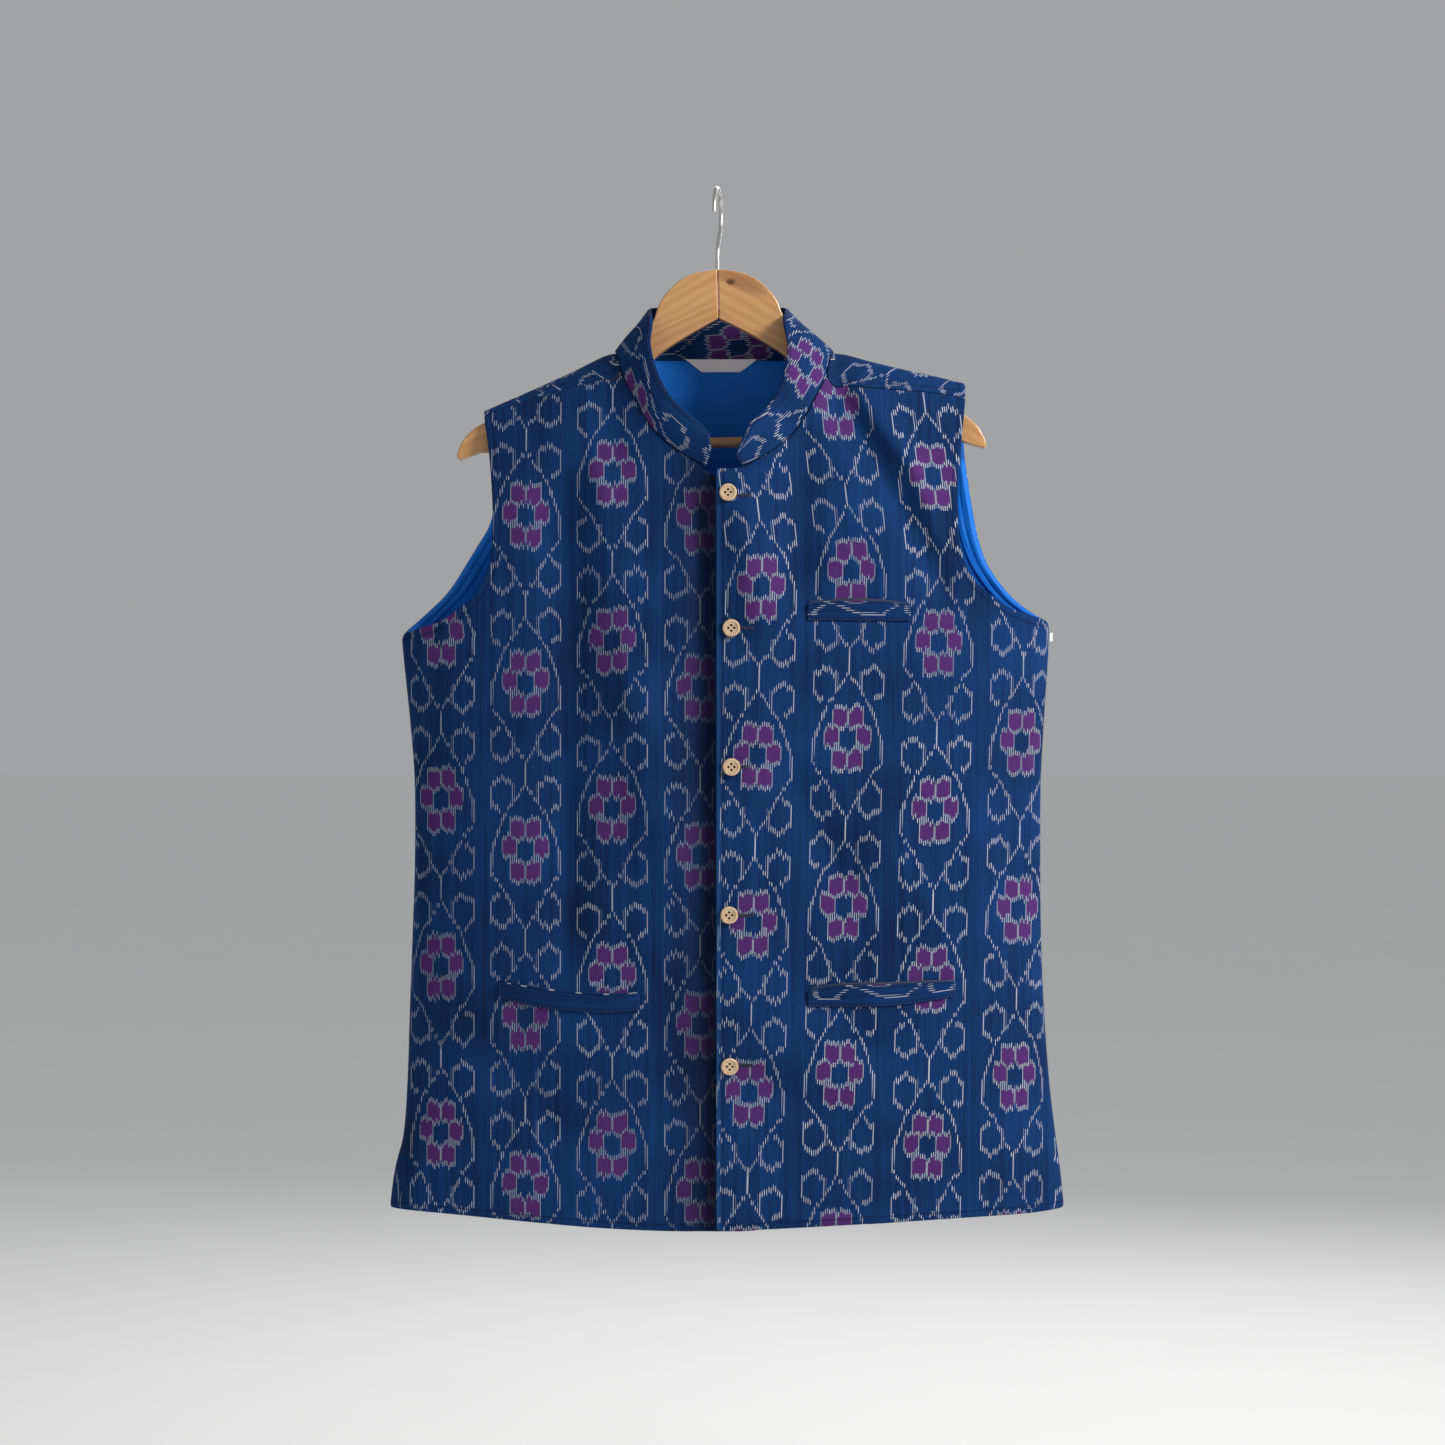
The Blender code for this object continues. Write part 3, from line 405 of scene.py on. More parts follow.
@dataclass
class JacketForm:
    """The hanging shape of the cloth, as a surface over x and q.

    q is the signed square root of how far a point lies below the shoulder ridge: above zero in front, below
    zero behind.
    """

    centre: float = 5.8
    neck_half: float = 91.7
    neck_point: float = 136.0
    armpit: dict[Side, float] = field(default_factory=lambda: {Side.LEFT: 369.4, Side.RIGHT: 358.6})
    armpit_front: float = 364.0
    hem: float = 843.0
    front_depth: float = 50.0
    back_depth: float = 42.0
    ridge_radius: float = 11.0
    neck_rise: float = 190.0
    side_fullness: float = 2.4
    seam_lap: float = 0.5
    side_gap: float = 1.1
    shoulder_end: float = 199.6
    top_edge: float = -1.2
    under_edge: float = 25.0
    top_neck: float = 233.4
    under_neck: float = 241.5
    lap_drop: float = 94.6
    seam_clearance: float = 4.0
    overlap_lift: float = 1.5
    roll: float = 1.0
    roll_width: float = 5.5
    overlap_fade: float = 34.0
    vent_top: dict[Side, float] = field(default_factory=lambda: {Side.LEFT: 783.0, Side.RIGHT: 762.0})
    vent_opening: float = 7.0
    vent_width: float = 60.0
    ripple: float = 0.9
    ripple_size: Pair = (46.0, 90.0)
    pucker_share: float = 0.35
    pucker_size: Pair = (17.0, 30.0)
    back_shift: float = 7.3
    fold_gain: float = 1.3
    fold_start: float = 5.0
    chest_half: float = 266.0
    girth_step: float = 6.0
    turn_steps: int = 24
    hem_q: float = 27.0
    edge_crowd: float = 1.3
    columns: int = 42
    lower_rows: int = 62
    opening_rows: int = 14
    neckline_rows: int = 22
    back_neck_columns: int = 24
    flap_rows: int = 5
    flap_slant: float = 0.7
    strip_columns: int = 6
    back_crowd: float = 1.5

    def half_width(self, side: Side, below: float) -> float:
        """The jacket's half width at a height."""
        return read_table(SIDE_SEAM, side.name.lower(), max(below, SIDE_SEAM[0].below))

    def ridge_below(self, x: float) -> float:
        """How far down the shoulder ridge runs at x. Over the neck it rises, out of the cloth."""
        out = abs(x - self.centre)
        if out < self.neck_half:
            return self.neck_point - self.neck_rise * (1 - (out / self.neck_half) ** 2) ** 1.5
        return self.neck_point + read_table(RIDGE, "left" if x < self.centre else "right", out)

    def q_at(self, x: float, below: float, face: Face) -> float:
        """The q of a place, on one face."""
        depth = math.sqrt(max(below - self.ridge_below(x), 0.0))
        return depth if face is Face.FRONT else -depth

    def relief(self, face: Face, x: float, below: float) -> float:
        """How far folds, creases and the cloth's own ripple push it out at a place."""
        total = 0.0
        for fold in FOLDS[face] + CREASES[face]:
            run = (fold.x1 - fold.x0, fold.below1 - fold.below0)
            length = run[0] ** 2 + run[1] ** 2
            t = ((x - fold.x0) * run[0] + (below - fold.below0) * run[1]) / length
            t = min(max(t, 0.0), 1.0)
            away = math.dist((x, below), (fold.x0 + run[0] * t, fold.below0 + run[1] * t))
            total += self.fold_gain * fold.height * math.exp(-((away / fold.half_width) ** 2))
        shift = 0.0 if face is Face.FRONT else self.back_shift
        wide, tall = self.ripple_size
        total += self.ripple * noise.noise(Vector((x / wide, below / tall, shift)))
        wide, tall = self.pucker_size
        pucker = self.pucker_share * self.ripple
        return total + pucker * noise.noise(Vector((x / wide, below / tall, shift + 4)))

    def fullness(self, x: float, below: float) -> float:
        """The share of the full depth that the cloth has at a place."""
        side = Side.LEFT if x < self.centre else Side.RIGHT
        share = min(abs(x - self.centre) / self.half_width(side, below), 1.0)
        return math.sqrt(max(1 - share**self.side_fullness, 0.0))

    def place(self, x: float, q: float) -> Vector:
        """The point of the cloth's middle surface at x and q."""
        front = q > 0
        below = self.ridge_below(x) + q * q
        side = Side.LEFT if x < self.centre else Side.RIGHT
        share = min(abs(x - self.centre) / self.half_width(side, below), 1.0)
        most = self.front_depth if front else self.back_depth
        ease_in = most * most / (2 * self.ridge_radius)
        depth = most * self.fullness(x, below) * abs(q) / math.sqrt(q * q + ease_in)
        folds = self.relief(Face.FRONT if front else Face.BACK, x, below)
        depth += folds * (1 - share**6) * ease(abs(q) / self.fold_start)
        down = ease((below - self.vent_top[side]) / (self.hem - self.vent_top[side]))
        across = ease((share - 1) * self.half_width(side, below) / self.vent_width + 1)
        depth += self.vent_opening * down * across
        depth += 0.5 * self.side_gap * share**8
        return Vector((x, -depth if front else depth, -below))

    def lap(self, side: Side, x: float) -> float:
        """How far a front stands out where the two fronts overlap, below zero for the one underneath."""
        edge = self.under_edge - x if side > 0 else x - self.top_edge
        lift = side * self.overlap_lift * (1 - ease(-edge / self.overlap_fade))
        if side > 0:
            lift += self.roll * (1 - ease((x - self.top_edge) / self.roll_width))
        return lift

    def front_point(self, side: Side, x: float, q: float) -> Vector:
        """A point of a front's middle surface."""
        point = self.place(x, q)
        point.y -= self.lap(side, x)
        return point

    def girth(self, x: float) -> float:
        """The length of cloth from the middle out to x, round the front."""
        out = abs(x - self.centre)
        steps = max(int(out / self.girth_step), 1)
        total, last = 0.0, (0.0, self.front_depth)
        for k in range(1, steps + 1):
            at = out * k / steps
            share = min(at / self.chest_half, 1.0)
            here = (at, self.front_depth * math.sqrt(max(1 - share**self.side_fullness, 0.0)))
            total += math.dist(last, here)
            last = here
        return total if x > self.centre else -total

    def turn_length(self, q: float) -> float:
        """The extra length that cloth of full depth takes in turning from the ridge down to q."""
        ease_in = self.front_depth**2 / (2 * self.ridge_radius)
        total = 0.0
        for k in range(self.turn_steps):
            t = abs(q) * (k + 0.5) / self.turn_steps
            lean = self.front_depth * ease_in / (t * t + ease_in) ** 1.5
            total += (math.hypot(lean, 2 * t) - 2 * t) * abs(q) / self.turn_steps
        return total

    def spot(self, at: Vector, x: float, q: float, over: bool = False) -> Spot:
        """Adds a point's place on the flat cloth to it.

        Args:
            at: The point.
            x: Its x.
            q: Its q.
            over: Whether the piece has come over the ridge from the back.

        Returns:
            The point with its place.
        """
        full = self.fullness(x, self.ridge_below(x) + q * q)
        whole = self.turn_length(self.hem_q)
        ridge = self.ridge_below(x) - full * whole
        run = q * q + full * self.turn_length(q)
        across = self.girth(x)
        if over:
            return Spot(at, across + math.copysign(self.flap_slant, across) * run, ridge - run)
        return Spot(at, across, ridge + run)

    def shoulder_seam(self, side: Side) -> list[Pair]:
        """(x, q) along the shoulder seam, from the armhole to the neckline."""
        row = SHOULDER_SEAM[side]
        points = []
        for k in range(self.columns + 1):
            t = k / self.columns
            x = self.centre + side * blend(self.shoulder_end, row.neck_out, t)
            points.append((x, blend(math.sqrt(row.tip), math.sqrt(row.neck), t**1.2)))
        neck_x = self.centre + side * row.neck_out
        points[-1] = (neck_x, self.q_at(neck_x, self.neck_point + row.neck_drop, Face.FRONT))
        return points

    def front_neckline(self, side: Side) -> list[Pair]:
        """(x, below) from the front opening up to the shoulder seam."""
        row = SHOULDER_SEAM[side]
        points = [
            (self.centre + side * neck.out, self.neck_point + neck.drop)
            for neck in NECKLINE
            if neck.drop > row.neck_drop + self.seam_clearance
        ]
        if side > 0:
            points[0:2] = [(self.under_edge, self.neck_point + self.lap_drop)]
        else:
            curve = [(self.centre - neck.out, self.neck_point + neck.drop) for neck in UNDER_NECKLINE]
            points[0:2] = [(self.top_edge, self.under_neck), *curve]
        points.append((self.centre + side * row.neck_out, self.neck_point + row.neck_drop))
        return evenly(points, self.neckline_rows)

    def armhole(self, side: Side, rows: Sequence[ArmholeRow], top: float, crowd: float = 1.0) -> list[Pair]:
        """(x, below) from the armpit up to the end of the shoulder."""
        low = self.armpit[side]
        edge = self.half_width(side, low)
        points = [(self.centre + side * (edge - row.inward), low - row.up) for row in rows]
        points.append((self.centre + side * self.shoulder_end, top))
        return evenly(points, self.opening_rows + self.neckline_rows, crowd)

    def lower_below(self, side: Side, share: float, x_share: float, hem_column: str) -> float:
        """The height of a row of the skirt, from the hem at share 0 to the armpit at 1."""
        low = self.hem + read_table(HEM_DROP, hem_column, x_share)
        return blend(low, blend(self.armpit_front, self.armpit[side], ease(x_share)), share)

    def front_panel(self, side: Side) -> tuple[list[list[Pair]], list[list[Pair]]]:
        """The main rows of a front and the rows of its overlap strip, as (x, q)."""
        inner_x = self.under_edge if side > 0 else self.top_edge
        outer_x = self.top_edge if side > 0 else self.under_edge
        column = side.name.lower()
        rows = []
        for i in range(self.lower_rows + 1):
            share = i / self.lower_rows
            level = self.lower_below(side, share, 1.0, column)
            edge = self.centre + side * self.half_width(side, level)
            row = []
            for j in range(self.columns + 1):
                x = blend(inner_x, edge, 1 - (j / self.columns) ** self.edge_crowd)
                x_share = min(abs(x - self.centre) / abs(edge - self.centre), 1.0)
                x_share = 0.0 if j == self.columns else x_share
                row.append((x, self.lower_below(side, share, x_share, column)))
            rows.append(row)
        neckline = self.front_neckline(side)
        inner = [
            (inner_x, blend(self.armpit_front, neckline[0][1], k / self.opening_rows))
            for k in range(self.opening_rows)
        ] + neckline
        top = [(x, self.ridge_below(x) + q * q) for x, q in self.shoulder_seam(side)]
        rows += coons(rows[-1], top, self.armhole(side, FRONT_ARMHOLE, top[0][1]), inner)[1:]
        rows = [[(x, self.q_at(x, below, Face.FRONT)) for x, below in row] for row in rows]
        strip = []
        last = self.lower_rows + self.opening_rows
        ends = (self.top_neck, self.top_neck + 0.2) if side > 0 else (self.under_neck + 4.5, self.under_neck)
        for i in range(last + 1):
            x0, q0 = rows[i][-1]
            level = self.ridge_below(x0) + q0 * q0
            line = [rows[i][-1]]
            for k in range(1, self.strip_columns + 1):
                t = k / self.strip_columns
                x = blend(inner_x, outer_x, t)
                below = blend(level, blend(ends[1], ends[0], t), min(3 * t, 1)) if i == last else level
                line.append((x, self.q_at(x, below, Face.FRONT)))
            strip.append(line)
        return rows, strip

    def back_neckline(self, side: Side) -> list[Pair]:
        """(x, below) from the neck point to the middle of the back."""
        half = self.back_neck_columns // 2
        return [
            (self.centre + side * self.neck_half * math.cos(0.5 * math.pi * k / half), self.neck_point)
            for k in range(half + 1)
        ]

    def shoulder_ridge(self, side: Side) -> list[Pair]:
        """(x, below) along the ridge, from the armhole to the neck point."""
        xs = [
            self.centre + side * blend(self.shoulder_end, self.neck_half, k / self.columns)
            for k in range(self.columns + 1)
        ]
        return [(x, self.ridge_below(x)) for x in xs]

    def back_panel(self) -> list[list[Pair]]:
        """Rows of (x, q) behind the ridge."""
        rows = []
        columns = self.columns + self.back_neck_columns // 2
        shares = [1 - (j / columns) ** self.edge_crowd for j in range(columns)]
        for i in range(self.lower_rows + 1):
            share = i / self.lower_rows
            row = []
            for side in Side:
                half = []
                for x_share in shares + ([0.0] if side < 0 else []):
                    below = self.lower_below(side, share, x_share, "back")
                    half.append((self.centre + side * self.half_width(side, below) * x_share, below))
                row += half if side < 0 else half[::-1]
            rows.append(row)
        left, right = self.back_neckline(Side.LEFT), self.back_neckline(Side.RIGHT)
        top = self.shoulder_ridge(Side.LEFT)[:-1] + left + right[::-1][1:]
        top += self.shoulder_ridge(Side.RIGHT)[::-1][1:]
        sides = []
        for side in Side:
            tip = self.ridge_below(self.centre + side * self.shoulder_end)
            sides.append(self.armhole(side, BACK_ARMHOLE[side], tip, self.back_crowd))
        rows += coons(rows[-1], top, *sides)[1:]
        return [[(x, self.q_at(x, below, Face.BACK)) for x, below in row] for row in rows]

    def shoulder_flap(self, side: Side) -> list[list[Pair]]:
        """Rows of (x, q) where the back comes over the ridge to the shoulder seam."""
        ridge = [(x, 0.0) for x, _ in self.shoulder_ridge(side)]
        seam = self.shoulder_seam(side)
        return [
            [
                tuple(blend(p, q, k / self.flap_rows) for p, q in zip(a, b))
                for a, b in zip(ridge, seam)
            ]
            for k in range(self.flap_rows + 1)
        ]

    def outer_face(self, x: float, below: float, cloth: float) -> tuple[Vector, Vector]:
        """The outer face of the front that shows at a place, and its outward normal."""
        side = Side.RIGHT if x > self.top_edge else Side.LEFT

        def at(dx: float, dz: float) -> Vector:
            """The middle surface a little to the side of the place."""
            return self.front_point(side, x + dx, self.q_at(x + dx, below + dz, Face.FRONT))

        normal = (at(0, 1.5) - at(0, -1.5)).cross(at(1.5, 0) - at(-1.5, 0)).normalized()
        normal = normal if normal.y < 0 else -normal
        return at(0, 0) + normal * 0.5 * cloth, normal


FORM = JacketForm()


def grid_normals(grid: Grid) -> list[list[Vector]]:
    """A normal for each point of a grid, from its neighbours."""
    last, end = len(grid) - 1, len(grid[0]) - 1
    normals = []
    for i, row in enumerate(grid):
        line = []
        for j in range(len(row)):
            across = row[min(j + 1, end)].at - row[max(j - 1, 0)].at
            up = grid[min(i + 1, last)][j].at - grid[max(i - 1, 0)][j].at
            line.append(across.cross(up).normalized())
        normals.append(line)
    return normals


def object_from(mesh: bmesh.types.BMesh, name: str, *finishes: bpy.types.Material) -> bpy.types.Object:
    """Turns a worked mesh into a smooth object with its finishes.

    Args:
        mesh: The mesh, which is freed.
        name: The name of the object and of its mesh.
        finishes: The materials, the outer one first.

    Returns:
        The object, not yet linked.
    """
    data = bpy.data.meshes.new(name)
    mesh.to_mesh(data)
    mesh.free()
    data.shade_smooth()
    for finish in finishes:
        data.materials.append(finish)
    return bpy.data.objects.new(name, data)


def hand_over(obj: bpy.types.Object, slot: str, *nodes: str) -> bpy.types.Object:
    """Links a piece, lets it ride on the body and hides the nodes that it stands for."""
    bpy.context.scene.collection.objects.link(obj)
    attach(obj, BODY)
    if nodes:
        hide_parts(*nodes)
    LOG.info("%s: %d faces", obj.name, len(obj.data.polygons) if obj.type == "MESH" else 0)
    return obj


def cloth_from(
    name: str, patches: Sequence[Grid], finishes: Sequence[bpy.types.Material], edges: Sequence[Vector] = (),
    flip: bool = False,
) -> bpy.types.Object:
    """Makes a smooth object from grids of spots that are joined where their points meet.

    Args:
        name: The object's name.
        patches: The grids.
        finishes: The cloth's material, and its lining's where it has one.
        edges: Points along the sewn edges. Each point of the cloth keeps its distance from them.
        flip: Whether to turn the faces round.

    Returns:
        The object, not yet linked.
    """
    mesh = bmesh.new()
    layer = mesh.verts.layers.float_vector.new(PLACE)
    tree = KDTree(len(edges))
    for index, point in enumerate(edges):
        tree.insert(point, index)
    tree.balance()
    for grid in patches:
        made = []
        for row in grid:
            line = []
            for spot in row:
                vertex = mesh.verts.new(spot.at * MM)
                away = min(tree.find(spot.at)[2], FAR_FROM_EDGE) if edges else FAR_FROM_EDGE
                vertex[layer] = Vector((spot.across, spot.along, away))
                line.append(vertex)
            made.append(line)
        for low, high in zip(made, made[1:]):
            for a, b, c, d in zip(low, low[1:], high[1:], high):
                mesh.faces.new((d, c, b, a) if flip else (a, b, c, d))
    bmesh.ops.remove_doubles(mesh, verts=mesh.verts[:], dist=0.001 * MM)
    return object_from(mesh, name, *finishes)


def flat_area(obj: bpy.types.Object) -> float:
    """The area of an unthickened cloth, in square metres."""
    return sum(face.area for face in obj.data.polygons)


def thicken(obj: bpy.types.Object, thickness: float, rounds: int = 1) -> None:
    """Gives a cloth its wall, and rounds the wall's edges."""
    wall = obj.modifiers.new("wall", "SOLIDIFY")
    wall.thickness = thickness * MM
    wall.offset = 0.0
    wall.material_offset = 1 if len(obj.data.materials) > 1 else 0
    if rounds:
        soft = obj.modifiers.new("soft_edges", "SUBSURF")
        soft.levels = soft.render_levels = rounds


def hang(
    obj: bpy.types.Object, wall: float, slot: str, node: str, cut: Pair, rounds: int = 1
) -> None:
    """Gives a cloth its wall and hands it over.

    Args:
        obj: The cloth, not yet thickened.
        wall: Its thickness in millimetres.
        slot: The slot it is in. It is not used.
        node: The node that it stands for.
        cut: The flat size it was cut to, in metres.
        rounds: How often its edges are rounded.
    """
    area = min(flat_area(obj), cut[0] * cut[1])
    thicken(obj, wall, rounds)
    hand_over(obj, slot, node)


def dense(points: Sequence[Vector], pitch: float = 1.5) -> list[Vector]:
    """Close points along a polyline."""
    found = []
    for a, b in zip(points, points[1:]):
        count = max(int((b - a).length / pitch), 1)
        found += [a.lerp(b, k / count) for k in range(count)]
    return [*found, points[-1]]


class Signal:
    """A number that a shader node gives, with arithmetic that adds the next node."""

    def __init__(self, tree: bpy.types.NodeTree, socket: bpy.types.NodeSocket) -> None:
        """Keeps the tree and the socket that gives the number."""
        self.tree = tree
        self.socket = socket

    def math(self, operation: str, *others: "Signal | float", clamp: bool = False) -> "Signal":
        """Adds a Math node after this number.

        Args:
            operation: The node's operation.
            others: Its other inputs.
            clamp: Whether to keep the result between 0 and 1.

        Returns:
            The node's result.
        """
        node = self.tree.nodes.new("ShaderNodeMath")
        node.operation = operation
        node.use_clamp = clamp
        self.tree.links.new(self.socket, node.inputs[0])
        for socket, other in zip(node.inputs[1:], others):
            if isinstance(other, Signal):
                self.tree.links.new(other.socket, socket)
            else:
                socket.default_value = other
        return Signal(self.tree, node.outputs[0])

    def __add__(self, other: "Signal | float") -> "Signal":
        """The sum."""
        return self.math("ADD", other)

    def __sub__(self, other: "Signal | float") -> "Signal":
        """The difference."""
        return self.math("SUBTRACT", other)

    def __mul__(self, other: "Signal | float") -> "Signal":
        """The product."""
        return self.math("MULTIPLY", other)

    def __truediv__(self, other: "Signal | float") -> "Signal":
        """The quotient."""
        return self.math("DIVIDE", other)

    def __neg__(self) -> "Signal":
        """The opposite number."""
        return self.math("MULTIPLY", -1.0)

    def __abs__(self) -> "Signal":
        """The size of the number."""
        return self.math("ABSOLUTE")

    def nearest(self) -> "Signal":
        """The nearest whole number."""
        return (self + 0.5).math("FLOOR")

    def most(self, other: "Signal | float") -> "Signal":
        """The larger of two numbers."""
        return self.math("MAXIMUM", other)

    def under(self, limit: "Signal | float", soft: float) -> "Signal":
        """1 below a limit and 0 above it, with a soft step."""
        return ((self - limit) * (-1.0 / soft)).math("ADD", 0.5, clamp=True)

    def over(self, limit: "Signal | float", soft: float) -> "Signal":
        """1 above a limit and 0 below it, with a soft step."""
        return ((self - limit) * (1.0 / soft)).math("ADD", 0.5, clamp=True)


Colour = tuple[float, float, float]


class Bench:
    """A material's node tree, and the few kinds of node that the finishes are made of."""

    def __init__(self, name: str) -> None:
        """Makes the material and finds its shader."""
        self.material = bpy.data.materials.new(name)
        self.material.use_nodes = True
        self.tree = self.material.node_tree
        self.shader = self.tree.nodes["Principled BSDF"]

    def signal(self, socket: bpy.types.NodeSocket) -> Signal:
        """A socket as a number."""
        return Signal(self.tree, socket)

    def place(self) -> tuple[Signal, Signal, Signal]:
        """The cloth's place across and along the warp and from its sewn edges, in millimetres."""
        node = self.tree.nodes.new("ShaderNodeAttribute")
        node.attribute_name = PLACE
        split = self.tree.nodes.new("ShaderNodeSeparateXYZ")
        self.tree.links.new(node.outputs["Vector"], split.inputs[0])
        return tuple(self.signal(socket) for socket in split.outputs)

    def spot_mm(self) -> tuple[Signal, Signal, Signal]:
        """The point's own coordinates in millimetres."""
        node = self.tree.nodes.new("ShaderNodeTexCoord")
        split = self.tree.nodes.new("ShaderNodeSeparateXYZ")
        self.tree.links.new(node.outputs["Object"], split.inputs[0])
        return tuple(self.signal(socket) * 1000.0 for socket in split.outputs)

    def vector(self, *parts: "Signal | float") -> bpy.types.NodeSocket:
        """Three numbers as a vector."""
        node = self.tree.nodes.new("ShaderNodeCombineXYZ")
        for socket, part in zip(node.inputs, parts):
            if isinstance(part, Signal):
                self.tree.links.new(part.socket, socket)
            else:
                socket.default_value = part
        return node.outputs[0]

    def grain(self, at: bpy.types.NodeSocket, scale: float, detail: float = 2.0) -> Signal:
        """Soft noise from 0 to 1 at a place."""
        node = self.tree.nodes.new("ShaderNodeTexNoise")
        node.inputs["Scale"].default_value = scale
        node.inputs["Detail"].default_value = detail
        self.tree.links.new(at, node.inputs["Vector"])
        return self.signal(node.outputs[0])

    def chance(self, *parts: "Signal | float") -> Signal:
        """A fixed random number from 0 to 1 for three whole numbers."""
        node = self.tree.nodes.new("ShaderNodeTexWhiteNoise")
        node.noise_dimensions = "3D"
        self.tree.links.new(self.vector(*parts), node.inputs["Vector"])
        return self.signal(node.outputs["Value"])

    def curve(self, value: Signal, points: Sequence[Pair]) -> Signal:
        """A number read from a smooth curve, both from 0 to 1."""
        node = self.tree.nodes.new("ShaderNodeFloatCurve")
        line = node.mapping.curves[0]
        line.points[0].location = points[0]
        line.points[1].location = points[-1]
        for point in points[1:-1]:
            line.points.new(*point)
        for point in line.points:
            point.handle_type = "VECTOR"
        node.mapping.update()
        self.tree.links.new(value.socket, node.inputs["Value"])
        return self.signal(node.outputs[0])

    def steps(self, index: Signal, values: Sequence[float]) -> Signal:
        """A number from 0 to 1 for each whole index, from a short list."""
        node = self.tree.nodes.new("ShaderNodeValToRGB")
        ramp = node.color_ramp
        ramp.interpolation = "CONSTANT"
        while len(ramp.elements) > 1:
            ramp.elements.remove(ramp.elements[-1])
        ramp.elements[0].position = 0.0
        for k in range(1, len(values)):
            ramp.elements.new(k / len(values))
        for element, value in zip(ramp.elements, values):
            element.color = (value, value, value, 1.0)
        self.tree.links.new(((index + 0.5) / float(len(values))).socket, node.inputs["Fac"])
        return self.signal(node.outputs["Color"])

    def mix(
        self, share: Signal, low: "bpy.types.NodeSocket | Colour", high: "bpy.types.NodeSocket | Colour"
    ) -> bpy.types.NodeSocket:
        """A colour between two others."""
        node = self.tree.nodes.new("ShaderNodeMix")
        node.data_type = "RGBA"
        self.tree.links.new(share.socket, node.inputs["Factor"])
        for socket, colour in ((node.inputs[6], low), (node.inputs[7], high)):
            if isinstance(colour, tuple):
                socket.default_value = (*colour, 1.0)
            else:
                self.tree.links.new(colour, socket)
        return node.outputs[2]

    def finish(
        self,
        colour: bpy.types.NodeSocket,
        roughness: "Signal | float",
        height: Signal | None = None,
        relief_mm: float = 0.2,
        strength: float = 1.0,
        **values: float,
    ) -> bpy.types.Material:
        """Joins the results to the shader.

        Args:
            colour: The base colour.
            roughness: A number or a signal.
            height: The relief, from 0 to 1.
            relief_mm: How high a relief of 1 stands.
            strength: How much of the relief is seen.
            values: Plain values for the shader's other sockets, with underscores for spaces.

        Returns:
            The material.
        """
        self.tree.links.new(colour, self.shader.inputs["Base Color"])
        if isinstance(roughness, Signal):
            self.tree.links.new(roughness.socket, self.shader.inputs["Roughness"])
        else:
            self.shader.inputs["Roughness"].default_value = roughness
        if height:
            bump = self.tree.nodes.new("ShaderNodeBump")
            bump.inputs["Distance"].default_value = relief_mm * MM
            bump.inputs["Strength"].default_value = strength
            self.tree.links.new(height.socket, bump.inputs["Height"])
            self.tree.links.new(bump.outputs[0], self.shader.inputs["Normal"])
        for name, value in values.items():
            self.shader.inputs[name.replace("_", " ")].default_value = value
        return self.material


@dataclass(frozen=True)
class PaintedEdgeLight:
    """Painted light along a panel's edge: a tint that stands in for the shade beside an overlap or the light
    on a rolled edge, full up to a place across the cloth and fading over a reach past it.

    Both are in millimetres. The painted tint fades to the left, or to the right where the reach is below
    zero.
    """

    at: float
    reach: float
    share: float
    tint: Colour


